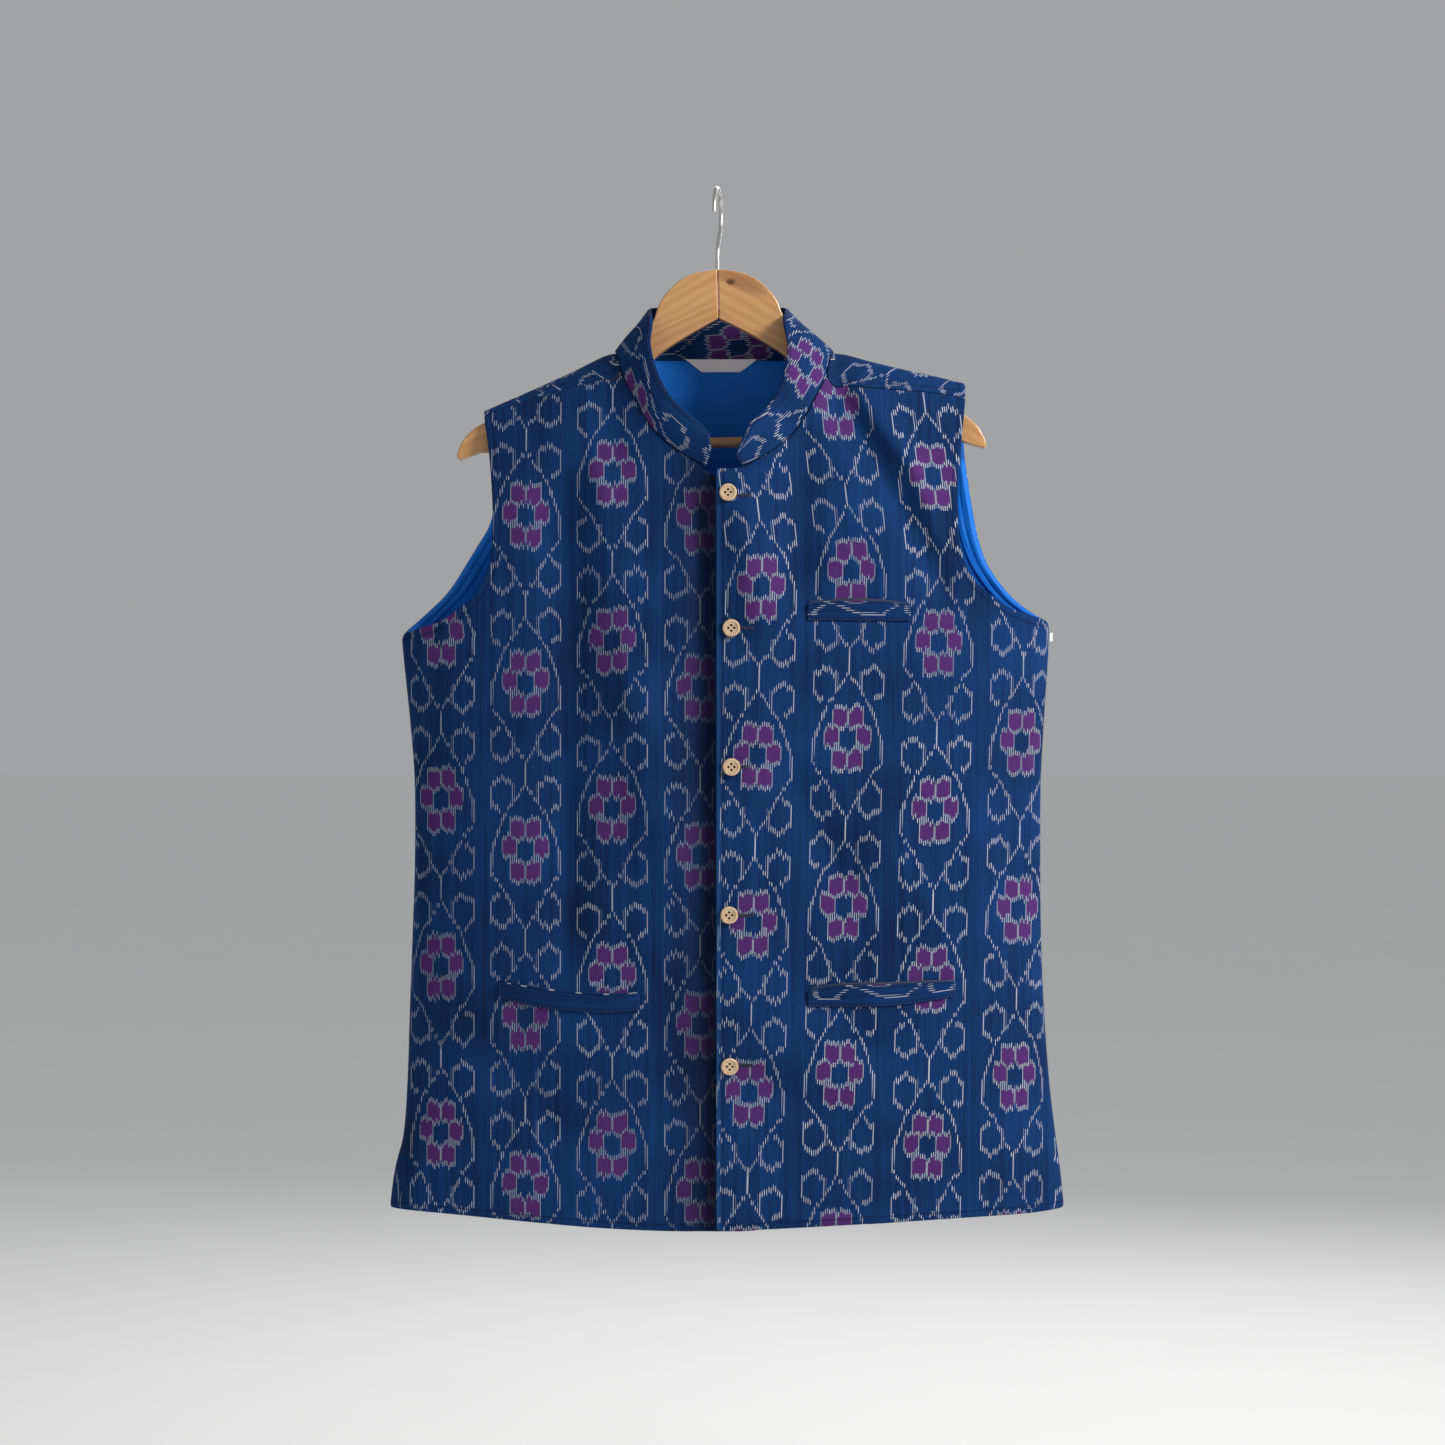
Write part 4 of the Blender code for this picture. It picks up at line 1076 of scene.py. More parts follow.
@dataclass(frozen=True)
class IkatCloth:
    """Cotton with bound-and-dyed warp: a flower in a pointed medallion, repeated in columns.

    A flower's own y runs down the warp from its middle, and its x is the same on both sides.
    """

    name: str
    first: float = 0.0
    phases: tuple[float, ...] = (12.0, 80.0)
    lean: float = 0.0
    shoulder_lean: float = 0.0
    stitch: float = 0.0
    column: float = 73.5
    repeat: float = 137.5
    bundle: float = 1.8
    jitter: float = 4.2
    # Painted shade or painted highlight along an edge, where one is given.
    painted_light: PaintedEdgeLight | None = None
    ground: Colour = (0.004, 0.042, 0.165)
    shade: Colour = (0.001, 0.008, 0.038)
    white: Colour = (0.54, 0.55, 0.62)
    petal: Colour = (0.085, 0.024, 0.155)

    MEDALLION = (
        (-54, 0), (-37, 11), (-28, 17.5), (-13, 23), (2, 28), (20, 28.4), (27, 23), (35, 17), (49, 10.5),
        (58, 4.5), (65, 0),
    )
    PETALS = ((6.5, -17.0), (13.2, -2.0), (6.5, 17.6))
    PETAL_HALF = 6.4
    PETAL_REACH = 9.0
    STEM = (5.5, 59.5)

    def motif(self, bench: Bench) -> tuple[Signal, Signal, Signal]:
        """The pattern at a point of the cloth.

        Args:
            bench: The material's nodes.

        Returns:
            How white, how purple and how far across its warp bundle the point is.
        """
        across, along, _ = bench.place()
        across = across + (along - 500.0) * self.lean - self.first
        if self.shoulder_lean:
            across = across + (-along + 300.0).most(0.0) * self.shoulder_lean
        count = len(self.phases)
        index = (across / self.column).nearest()
        x = across - index * self.column
        wrapped = index - (index / float(count)).math("FLOOR") * float(count)
        phase = bench.steps(wrapped, [value / self.repeat for value in self.phases]) * self.repeat
        y = along - phase
        row = (y / self.repeat).nearest()
        y = y - row * self.repeat
        bundle = (x / self.bundle).nearest()
        inside = x / self.bundle - bundle
        luck = bench.chance(bundle, index, row)
        y = y + (luck - 0.5) * self.jitter
        petals, sides, dashes = self.flower(abs(x), y)
        stem = abs(x).under(0.5, 0.3) * abs(y - self.STEM[0]).over(self.STEM[1], 2.0)
        x = abs(bundle) * self.bundle
        low, high = self.MEDALLION[0][0], self.MEDALLION[-1][0]
        width = bench.curve(
            (y - low) / (high - low), [((v - low) / (high - low), w / 30) for v, w in self.MEDALLION]
        )
        margin = -(abs(x - width * 30.0)) + 1.3
        margin = margin.most(self.curl(x, y)).most(dashes)
        strand = margin.math("MULTIPLY", 1.6, clamp=True) * 0.10 + 0.09
        white = abs(inside).under(strand, 0.08) * margin.over(0.0, 0.15)
        fade = bench.chance(row, bundle, index + 7.0) * 0.35 + 0.65
        fade = fade * (bench.chance(index, row, 4.0) * 0.3 + 0.7)
        return white.most(sides * 0.7).most(stem) * fade, petals, inside

    def curl(self, x: Signal, y: Signal) -> Signal:
        """How far inside a curl's line a point lies, in millimetres."""
        away = abs(y - 2.75) - 47.25
        side = abs(x - 19.3)
        upright = side - 9.2
        slope = (side * 0.5 + abs(away) * 0.63 - 9.2) / 1.5
        line = -(abs(upright.most(slope))) + 1.1
        shown = x.over(20.4, 0.2).most(away.over(-7.0, 0.3)) * away.over(-15.0, 0.5)
        return line - (-shown + 1.0) * 5.0

    def flower(self, x: Signal, y: Signal) -> tuple[Signal, Signal, Signal]:
        """How far a point is in a petal, in a petal's side lines and inside the dashes at its ends."""
        petals = sides = dashes = None
        for centre, height in self.PETALS:
            side = abs(x - centre) / self.PETAL_HALF
            end = side * 0.3 + abs(y - height) / self.PETAL_REACH
            petal = side.under(0.90, 0.05) * end.under(0.86, 0.10)
            line = side.under(1.0, 0.05) * end.under(0.9, 0.1)
            dash = (abs(end - 1.03) * -1.0 + 0.25) * self.PETAL_REACH - side.over(1.0, 0.05) * 9.0
            petals = petal if petals is None else petals.most(petal)
            sides = line if sides is None else sides.most(line)
            dashes = dash if dashes is None else dashes.most(dash)
        outside = -petals + 1.0
        return petals, sides * outside, dashes - petals * 9.0

    def make(self) -> bpy.types.Material:
        """The cloth's material."""
        bench = Bench(self.name)
        across, along, edge = bench.place()
        white, petals, inside = self.motif(bench)
        abrash = bench.grain(bench.vector(across / 2.0, along / 130.0, 0.0), 0.55, 3.0)
        streaks = bench.grain(bench.vector(across / 0.5, along / 60.0, 5.0), 0.6, 2.0)
        cloudy = bench.grain(bench.vector(across, along, 3.0), 0.012, 2.0)
        twill = ((across * 1.1 - along) * (math.tau / 2.0)).math("SINE") * 0.5 + 0.5
        fuzz = bench.grain(bench.vector(across, along * 0.7, 0.0), 1.1, 2.0)
        depth = abrash * 0.9 + streaks * 0.55 + cloudy * 1.1 + twill * 0.34 + fuzz * 0.5
        ground = bench.mix(depth.math("SUBTRACT", 1.20, clamp=True), self.shade, self.ground)
        threads = (abs(inside) * 0.9 + fuzz * 0.4).math("MULTIPLY", 1.0, clamp=True)
        dark_petal = tuple(0.5 * c for c in self.petal)
        colour = bench.mix(petals, ground, bench.mix(threads, self.petal, dark_petal))
        colour = bench.mix(white * (fuzz * 0.35 + 0.75), colour, self.white)
        height = twill * 0.35 + fuzz * 0.5 + white * 0.25
        if self.stitch:
            groove = abs(edge - self.stitch)
            line = groove.under(0.8, 1.2)
            # Painted shade: the cloth is darkened in the groove along its line of stitches.
            colour = bench.mix(line * 0.55, colour, self.shade)
            height = height * 0.25 + (-line + 1.0) * 0.75
        # Painted light along an edge: shade beside the overlap, or a highlight on the rolled edge.
        if self.painted_light:
            near = -((-across + self.painted_light.at).math("DIVIDE", self.painted_light.reach, clamp=True)) + 1.0
            colour = bench.mix(near * self.painted_light.share, colour, self.painted_light.tint)
        self.tint_sheen(bench)
        return bench.finish(
            colour, fuzz * 0.2 + 0.72, height, 0.35, 0.7,
            Sheen_Weight=0.04, Sheen_Roughness=0.5, Specular_IOR_Level=0.1,
        )

    @staticmethod
    def tint_sheen(bench: Bench) -> None:
        """Gives the cloth's nap a blue tint."""
        bench.shader.inputs["Sheen Tint"].default_value = (0.35, 0.55, 1.0, 1.0)


@dataclass(frozen=True)
class PlainCloth:
    """A plain woven lining, label or tape."""

    name: str
    light: Colour
    dark: Colour
    thread: float = 0.45
    roughness: float = 0.5
    relief: float = 0.12
    sheen: float = 0.02
    gloss: float = 0.2

    def make(self) -> bpy.types.Material:
        """The cloth's material."""
        bench = Bench(self.name)
        across, _, along = bench.spot_mm()
        warp = (across * (math.pi / self.thread)).math("SINE")
        weft = (along * (math.pi / self.thread)).math("SINE")
        weave = warp * weft * 0.5 + 0.5
        cloudy = bench.grain(bench.vector(across, along, 0.0), 0.03, 3.0)
        slub = bench.grain(bench.vector(across * 0.08, along, 0.0), 0.9, 2.0)
        share = (cloudy * 0.7 + weave * 0.2 + slub * 0.25).math("SUBTRACT", 0.1, clamp=True)
        colour = bench.mix(share, self.dark, self.light)
        return bench.finish(
            colour, cloudy * 0.15 + self.roughness, weave * 0.6 + slub * 0.4, self.relief, 0.6,
            Sheen_Weight=self.sheen, Sheen_Roughness=0.4, Specular_IOR_Level=self.gloss,
        )


@dataclass(frozen=True)
class Thread:
    """Twisted sewing thread."""

    name: str
    light: Colour
    dark: Colour

    def make(self) -> bpy.types.Material:
        """The thread's material."""
        bench = Bench(self.name)
        x, y, z = bench.spot_mm()
        twist = ((x + z) * (math.tau / 0.5)).math("SINE") * 0.5 + 0.5
        uneven = bench.grain(bench.vector(x, y, z), 0.6, 2.0)
        share = (twist * 0.5 + uneven * 0.5).math("MULTIPLY", 1.0, clamp=True)
        colour = bench.mix(share, self.dark, self.light)
        return bench.finish(colour, uneven * 0.2 + 0.5, twist, 0.06, 0.6, Sheen_Weight=0.1)


@dataclass(frozen=True)
class Wood:
    """Varnished wood with long grain that follows each half of the hanger."""

    name: str
    slope: float
    light: Colour = (0.62, 0.345, 0.145)
    dark: Colour = (0.40, 0.185, 0.068)
    stain: Colour = (0.24, 0.085, 0.028)
    knot_at: Pair | None = None
    roughness: float = 0.26

    def make(self) -> bpy.types.Material:
        """The wood's material."""
        bench = Bench(self.name)
        x, y, z = bench.spot_mm()
        cos, sin = math.cos(self.slope), math.sin(self.slope)
        along = x * cos + z * sin
        across = z * cos - x * sin
        drift = bench.grain(bench.vector(along * 0.012, across * 0.05, y * 0.05), 1.0, 2.0)
        bent = across + drift * 14.0
        figure = bench.grain(bench.vector(along * 0.006, bent * 0.11, y * 0.1), 1.0, 3.0)
        rings = (bent * (math.tau / 7.5) + figure * 5.0).math("SINE") * 0.5 + 0.5
        pores = bench.grain(bench.vector(along * 0.05, bent * 1.6, y * 1.6), 1.0, 2.0)
        share = (rings * 0.3 + figure * 0.7 + pores * 0.45).math("SUBTRACT", 0.25, clamp=True)
        colour = bench.mix(share, self.dark, self.light)
        if self.knot_at:
            near = bench.vector((x - self.knot_at[0]) / 3.4, (z - self.knot_at[1]) / 2.4, 0.0)
            length = bench.tree.nodes.new("ShaderNodeVectorMath")
            length.operation = "LENGTH"
            bench.tree.links.new(near, length.inputs[0])
            away = bench.signal(length.outputs["Value"]) + (pores - 0.5) * 1.6
            turned_x = (x - self.knot_at[0] - 12.0) * 0.93 - (z - self.knot_at[1]) * 0.36
            turned_z = (z - self.knot_at[1]) * 0.93 + (x - self.knot_at[0] - 12.0) * 0.36
            cloud = (turned_x / 24.0).math("POWER", 2.0) + (turned_z / 6.5).math("POWER", 2.0)
            cloud = (cloud + (drift - 0.5) * 2.2 + (pores - 0.5)).under(0.9, 1.5)
            colour = bench.mix(cloud * 0.62, colour, self.stain)
            colour = bench.mix(away.under(1.0, 0.8) * 0.85, colour, (0.06, 0.02, 0.008))
        height = pores * 0.6 + rings * 0.4
        return bench.finish(
            colour, pores * 0.1 + self.roughness, height, 0.12, 0.35,
            Coat_Weight=0.45, Coat_Roughness=0.12, Specular_IOR_Level=0.45,
        )


@dataclass(frozen=True)
class Turned:
    """Pale turned wood or shell, for the buttons."""

    name: str
    light: Colour = (0.80, 0.64, 0.43)
    dark: Colour = (0.33, 0.17, 0.08)

    def make(self) -> bpy.types.Material:
        """The button's material."""
        bench = Bench(self.name)
        x, y, z = bench.spot_mm()
        grain = bench.grain(bench.vector(x * 0.12, y * 1.3, z), 1.0, 3.0)
        cloudy = bench.grain(bench.vector(x, y, z), 0.22, 2.0)
        lathe = (x * x + y * y).math("SQRT")
        rings = (lathe * (math.tau / 0.55)).math("SINE") * 0.5 + 0.5
        share = (grain * 0.7 + cloudy * 0.5).math("SUBTRACT", 0.12, clamp=True)
        colour = bench.mix(share, self.dark, self.light)
        colour = bench.mix(abs(lathe - 5.0).under(0.25, 0.5) * 0.55, colour, self.dark)
        # Painted shade: the button's outer edge, where it turns down to the cloth, is darkened.
        colour = bench.mix(lathe.over(6.9, 0.5) * 0.7, colour, self.dark)
        height = rings * 0.3 + grain * 0.7
        return bench.finish(colour, cloudy * 0.15 + 0.34, height, 0.08, 0.4, Coat_Weight=0.2)


@dataclass(frozen=True)
class Wire:
    """Bright drawn steel wire."""

    name: str

    def make(self) -> bpy.types.Material:
        """The wire's material."""
        bench = Bench(self.name)
        x, y, z = bench.spot_mm()
        streak = bench.grain(bench.vector(x * 2.0, y * 2.0, z * 0.15), 1.0, 3.0)
        colour = bench.mix(streak, (0.46, 0.45, 0.43), (0.68, 0.67, 0.65))
        return bench.finish(colour, streak * 0.2 + 0.2, streak, 0.02, 0.3, Metallic=1.0)


@dataclass(frozen=True)
class Paint:
    """The pale matt surface of the studio."""

    name: str
    colour: Colour = (0.995, 0.995, 0.99)

    def make(self) -> bpy.types.Material:
        """The studio floor's material."""
        bench = Bench(self.name)
        x, y, z = bench.spot_mm()
        mottle = bench.grain(bench.vector(x, y, z), 0.004, 2.0)
        colour = bench.mix(mottle, tuple(0.97 * c for c in self.colour), self.colour)
        return bench.finish(colour, 0.9, Specular_IOR_Level=0.0)


class Finishes:
    """One material for each finish."""

    def __init__(self) -> None:
        """Makes the materials."""
        self.front = {
            # Painted shade: the left front is a shaded copy of the cloth. Its white is dimmer than the right
            # front's, and a painted shadow darkens it beside the overlap.
            Side.LEFT: IkatCloth(
                "ikat_front_left_painted_shade", first=-20.0, column=71.9, phases=(1.2, 92.7, 133.9, 99.7), stitch=5.6,
                white=(0.42, 0.44, 0.53), painted_light=PaintedEdgeLight(-13.0, 40.0, 0.85, (0.0005, 0.003, 0.016)),
            ).make(),
            # Painted highlight: the right front is paler along its rolled edge at the overlap, where it
            # catches the light.
            Side.RIGHT: IkatCloth(
                "ikat_front_right_painted_highlight", first=26.0, column=73.8, phases=(56.75, 42.7, 101.5, 46.0), lean=0.024,
                shoulder_lean=0.13, stitch=5.6, painted_light=PaintedEdgeLight(-7.0, -4.5, 0.35, (0.03, 0.13, 0.36)),
            ).make(),
        }
        self.back = IkatCloth("ikat_back", first=-2.0, phases=(56.0, 90.0), stitch=5.6).make()
        self.collar = IkatCloth(
            "ikat_collar", first=57.2, phases=(12.0,), lean=-0.1, stitch=2.4, column=90.0
        ).make()
        self.welt_breast = IkatCloth("ikat_welt_breast", first=34.0, phases=(43.0,), stitch=1.8).make()
        self.welt_left = IkatCloth(
            "ikat_welt_left", first=-42.0, phases=(100.0,), stitch=1.8, column=120.0
        ).make()
        self.welt_right = IkatCloth("ikat_welt_right", first=36.0, phases=(62.0,), stitch=1.8).make()
        self.facing = IkatCloth("ikat_facing", first=-9.0, phases=(121.5,)).make()
        self.lining = PlainCloth("azure_lining", (0.001, 0.180, 0.700), (0.001, 0.110, 0.500)).make()
        self.tape = PlainCloth("white_tape", (0.93, 0.93, 0.93), (0.84, 0.84, 0.86), thread=0.3).make()
        self.thread = Thread("navy_thread", (0.03, 0.075, 0.27), (0.008, 0.022, 0.10)).make()
        # Dark thread, which also serves as painted shade in the narrow pocket mouths.
        self.dark_thread_and_painted_shade = Thread("dark_thread_and_painted_shade", (0.012, 0.022, 0.08), (0.004, 0.007, 0.03)).make()
        self.wood = {
            Side.LEFT: Wood("hanger_wood_left", slope=math.radians(27)).make(),
            Side.RIGHT: Wood("hanger_wood_right", slope=math.radians(-29), knot_at=(11.0, -77.0)).make(),
        }
        self.bar = Wood(
            "hanger_wood_bar", slope=0.0, light=(0.50, 0.27, 0.11), dark=(0.34, 0.16, 0.06)
        ).make()
        self.button = Turned("turned_button").make()
        self.wire = Wire("steel_wire").make()


class Edge(Enum):
    """An edge of a grid."""

    FIRST_ROW = "first row"
    LAST_ROW = "last row"
    FIRST_COLUMN = "first column"
    LAST_COLUMN = "last column"


@dataclass
class Topstitching:
    """Rows of stitches that lie along the edges of a cloth, a set distance inside them."""

    name: str
    material: bpy.types.Material
    pitch: float = 3.1
    length: float = 2.3
    radius: float = 0.24
    sides: int = 5
    swell: tuple[tuple[float, float, float], ...] = ((0.14, 0.7, 0.12), (0.5, 1.0, 0.0), (0.86, 0.7, 0.12))
    tip_sink: float = 0.28
    lines: list[tuple[list[Vector], list[Vector]]] = field(default_factory=list)

    def inset(
        self, grid: Grid, lift: float, edge: Edge, distance: float, first: int = 0, last: int | None = None
    ) -> None:
        """Adds a line of stitches inside an edge of a grid.

        Args:
            grid: The cloth's middle surface.
            lift: How far above it the thread lies, below zero for the other face.
            edge: The edge to follow.
            distance: How far inside it to sew, in millimetres.
            first: The first index along the edge.
            last: The index after the last one.
        """
        normals = grid_normals(grid)
        if edge in (Edge.FIRST_COLUMN, Edge.LAST_COLUMN):
            lanes = [[(s.at, n) for s, n in zip(row, line)] for row, line in zip(grid, normals)]
        else:
            lanes = [
                [(row[j].at, line[j]) for row, line in zip(grid, normals)] for j in range(len(grid[0]))
            ]
        if edge in (Edge.LAST_ROW, Edge.LAST_COLUMN):
            lanes = [lane[::-1] for lane in lanes]
        points, outward = [], []
        for lane in lanes[first:last]:
            left = distance
            for (a, na), (b, nb) in zip(lane, lane[1:]):
                step = (b - a).length
                if step >= left:
                    normal = na.lerp(nb, left / step).normalized()
                    points.append(a.lerp(b, left / step) + normal * lift)
                    outward.append(normal if lift > 0 else -normal)
                    break
                left -= step
        self.lines.append((points, outward))

    def stitch(self, mesh: bmesh.types.BMesh, start: Vector, end: Vector, up: Vector) -> None:
        """Adds one stitch, thickest in its middle and sinking at its ends."""
        way = (end - start).normalized()
        side = way.cross(up).normalized()
        up = side.cross(way)
        rings = []
        for share, size, sink in self.swell:
            middle = start.lerp(end, share) - up * sink
            ring = []
            for k in range(self.sides):
                angle = math.tau * k / self.sides
                reach = side * math.cos(angle) + up * math.sin(angle)
                ring.append(mesh.verts.new((middle + reach * self.radius * size) * MM))
            rings.append(ring)
        tips = [mesh.verts.new((point - up * self.tip_sink) * MM) for point in (start, end)]
        for low, high in zip(rings, rings[1:]):
            for k in range(self.sides):
                m = (k + 1) % self.sides
                mesh.faces.new((low[k], high[k], high[m], low[m]))
        for k in range(self.sides):
            m = (k + 1) % self.sides
            mesh.faces.new((tips[0], rings[0][k], rings[0][m]))
            mesh.faces.new((tips[1], rings[-1][m], rings[-1][k]))

    def build(self) -> bpy.types.Object:
        """Sews every line that was added."""
        mesh = bmesh.new()
        for points, outward in self.lines:
            travelled, due = 0.0, 0.5
            marks = []
            for (a, na), (b, nb) in zip(zip(points, outward), zip(points[1:], outward[1:])):
                step = (b - a).length
                while step > 0 and due <= travelled + step:
                    t = (due - travelled) / step
                    marks.append((a.lerp(b, t), na.lerp(nb, t)))
                    due += self.length if len(marks) % 2 else self.pitch - self.length
                travelled += step
            for (a, up), (b, _) in zip(marks[::2], marks[1::2]):
                self.stitch(mesh, a, b, up)
        bmesh.ops.recalc_face_normals(mesh, faces=mesh.faces[:])
        return hand_over(object_from(mesh, self.name, self.material), "ikat")


@dataclass
class FrontPanel:
    """One front of the jacket, with its overlap strip, its lined inside and its topstitching."""

    side: Side
    finishes: Finishes
    cloth: float = 1.6
    hem_stitch: float = 4.2
    edge_stitch: float = 5.6
    seam_turning: float = 1.6
    cut: Pair = (0.300, 0.725)

    def build(self) -> None:
        """Makes the panel and sews its edges."""
        side = self.side
        rows, strip = FORM.front_panel(side)
        grid = [[FORM.spot(FORM.front_point(side, x, q), x, q) for x, q in row] for row in rows]
        lap = [[FORM.spot(FORM.front_point(side, x, q), x, q) for x, q in row] for row in strip]
        for row, first in zip(lap, grid):
            row[0] = first[-1]
        low = FORM.lower_rows
        name = f"front_{side.name.lower()}"
        edges = dense([row[0].at for row in grid[low:]]) + dense([row[-1].at for row in lap])
        edges += dense([spot.at for spot in grid[0]]) + dense([spot.at for spot in lap[0]])
        finishes = (self.finishes.front[side], self.finishes.lining)
        obj = cloth_from(f"{name}_cloth", [grid, lap], finishes, edges, flip=side > 0)
        hang(obj, self.cloth, "ikat", name, self.cut)
        lift = (0.5 * self.cloth + ABOVE_CLOTH) * side
        sewing = Topstitching(f"{name}_stitches", self.finishes.thread)
        sewing.inset(grid, lift, Edge.FIRST_COLUMN, self.edge_stitch + self.seam_turning, low)
        sewing.inset(grid, lift, Edge.FIRST_ROW, self.hem_stitch, 0)
        if side > 0:
            sewing.inset(lap, lift, Edge.LAST_COLUMN, self.edge_stitch, 0)
            sewing.inset(lap, lift, Edge.FIRST_ROW, self.hem_stitch, 0)
        vent = round(low * (FORM.hem - FORM.vent_top[side]) / (FORM.hem - FORM.armpit[side]))
        sewing.inset(grid, lift, Edge.FIRST_COLUMN, self.edge_stitch, 0, vent)
        sewing.build()


@dataclass
class BackPanel:
    """The back, which comes over both shoulders, and its lining."""

    finishes: Finishes
    cloth: float = 1.6
    lining_cloth: float = 1.0
    lining_gap: float = 0.8
    lining_top: float = -3.0
    lining_drop: float = 0.8
    slack: float = 0.7
    facing_width: float = 14.0
    facing_steps: int = 14
    facing_lift: float = 3.8
    facing_inset: float = 0.7
    facing_cloth: float = 0.5
    facing_seam: float = 8.5
    seam_depth: float = 0.7
    seam_width: float = 1.3
    facing_gap: float = 0.2
    facing_rise: float = 4.0
    wrinkle: float = 0.8
    wrinkle_size: Pair = (2.4, 21.0)
    wrinkle_start: float = 3.0
    edge_stitch: float = 5.6
    seam_turning: float = 1.6
    hem_stitch: float = 4.2
    cut: Pair = (0.590, 0.760)
    lining_cut: Pair = (0.570, 0.720)

    def build(self) -> None:
        """Makes the back and its lining, and sews the edges."""
        rows = FORM.back_panel()
        grid = [[FORM.spot(FORM.place(x, q), x, q) for x, q in row] for row in rows]
        patches = [grid]
        edges = dense([spot.at for spot in grid[0]])
        low = FORM.lower_rows
        for column in (0, -1):
            edges += dense([row[column].at for row in grid[low:]])
        for side in Side:
            flap = [
                [FORM.spot(FORM.place(x, q), x, q, over=True) for x, q in row]
                for row in FORM.shoulder_flap(side)
            ]
            for j, spot in enumerate(flap[-1]):
                reach = flap[-2][j].at - spot.at
                spot.at = spot.at - reach * (FORM.seam_lap / max(reach.length, FORM.seam_lap))
            patches.append([row[::-side] for row in flap])
            edges += dense([spot.at for spot in flap[-1]])
            edges += dense([row[0].at for row in flap])
        finishes = (self.finishes.back, self.finishes.lining)
        obj = cloth_from("back_cloth", patches, finishes, edges, flip=True)
        hang(obj, self.cloth, "ikat", "back", self.cut)
        lift = -(0.5 * self.cloth + ABOVE_CLOTH)
        sewing = Topstitching("back_stitches", self.finishes.thread)
        for edge in (Edge.FIRST_COLUMN, Edge.LAST_COLUMN):
            sewing.inset(grid, lift, edge, self.edge_stitch + self.seam_turning, low)
        sewing.inset(grid, lift, Edge.FIRST_ROW, self.hem_stitch)
        sewing.build()
        self.build_lining(rows)
        self.build_facings(grid)

    def build_facings(self, grid: Grid) -> None:
        """Makes the wrinkled lining strips that face the back's armholes on the inside."""
        normals = grid_normals(grid)
        across, along = self.wrinkle_size
        first = FORM.lower_rows - 1
        for side in Side:
            strip = []
            length = 0.0
            edge = grid[first][::-side][0].at
            for i in range(first, len(grid)):
                lane = list(zip(grid[i], normals[i]))[::-side]
                length += (lane[0][0].at - edge).length
                edge = lane[0][0].at
                line = []
                for k in range(self.facing_steps + 1):
                    inward = self.facing_inset + self.facing_width * k / self.facing_steps
                    at, normal = self.walk(lane, inward)
                    place = Vector((inward / across, length / along, side * 3.0))
                    wrinkle = self.wrinkle * noise.noise(place)
                    off_seam = (inward - self.facing_seam) / self.seam_width
                    wrinkle -= self.seam_depth * math.exp(-(off_seam**2))
                    low = 0.5 * self.cloth + self.facing_gap
                    lift = blend(low, self.facing_lift, ease(inward / self.facing_rise))
                    at = at + normal * (lift + wrinkle * ease(inward / self.wrinkle_start))
                    line.append(Spot(at, inward, length))
                strip.append(line)
            obj = cloth_from(f"armhole_facing_{side.name.lower()}", [strip], [self.finishes.lining])
            thicken(obj, self.facing_cloth, rounds=0)
            hand_over(obj, "lining")

    @staticmethod
    def walk(lane: list[tuple[Spot, Vector]], distance: float) -> tuple[Vector, Vector]:
        """The point and normal a distance along a line of the cloth."""
        for (a, na), (b, nb) in zip(lane, lane[1:]):
            step = (b.at - a.at).length
            if step >= distance:
                return a.at.lerp(b.at, distance / step), na.lerp(nb, distance / step)
            distance -= step
        return lane[-1][0].at, lane[-1][1]

    def build_lining(self, rows: list[list[Pair]]) -> None:
        """Makes the lining from the back's points, drawn in from its edges and moved inwards."""
        first = FORM.lower_rows - 1
        rows = rows[1:]
        drawn = [list(row) for row in rows[: first + 1]]
        for row in rows[first + 1:]:
            line = []
            for j, (x, q) in enumerate(row):
                low, high = rows[first][j][1], rows[-1][j][1]
                goal = min(high, self.lining_top)
                goal = -math.sqrt(goal * goal + self.lining_drop)
                line.append((x, low + (q - low) * (goal - low) / (high - low)))
            drawn.append(line)
        grid = [[FORM.spot(FORM.place(x, q), x, q) for x, q in row[1:-1]] for row in drawn[::2]]
        step = 0.5 * self.cloth + self.lining_gap + 0.5 * self.lining_cloth
        for row, normals in zip(grid, grid_normals(grid)):
            for spot, normal in zip(row, normals):
                slack = self.slack * noise.noise(Vector((spot.at.x / 9, spot.at.z / 70, 11.0)))
                spot.at = spot.at - normal * math.copysign(step + self.slack + slack, normal.y)
        obj = cloth_from("lining_back_cloth", [grid], [self.finishes.lining], flip=True)
        hang(obj, self.lining_cloth, "lining", "lining_back", self.lining_cut, rounds=0)


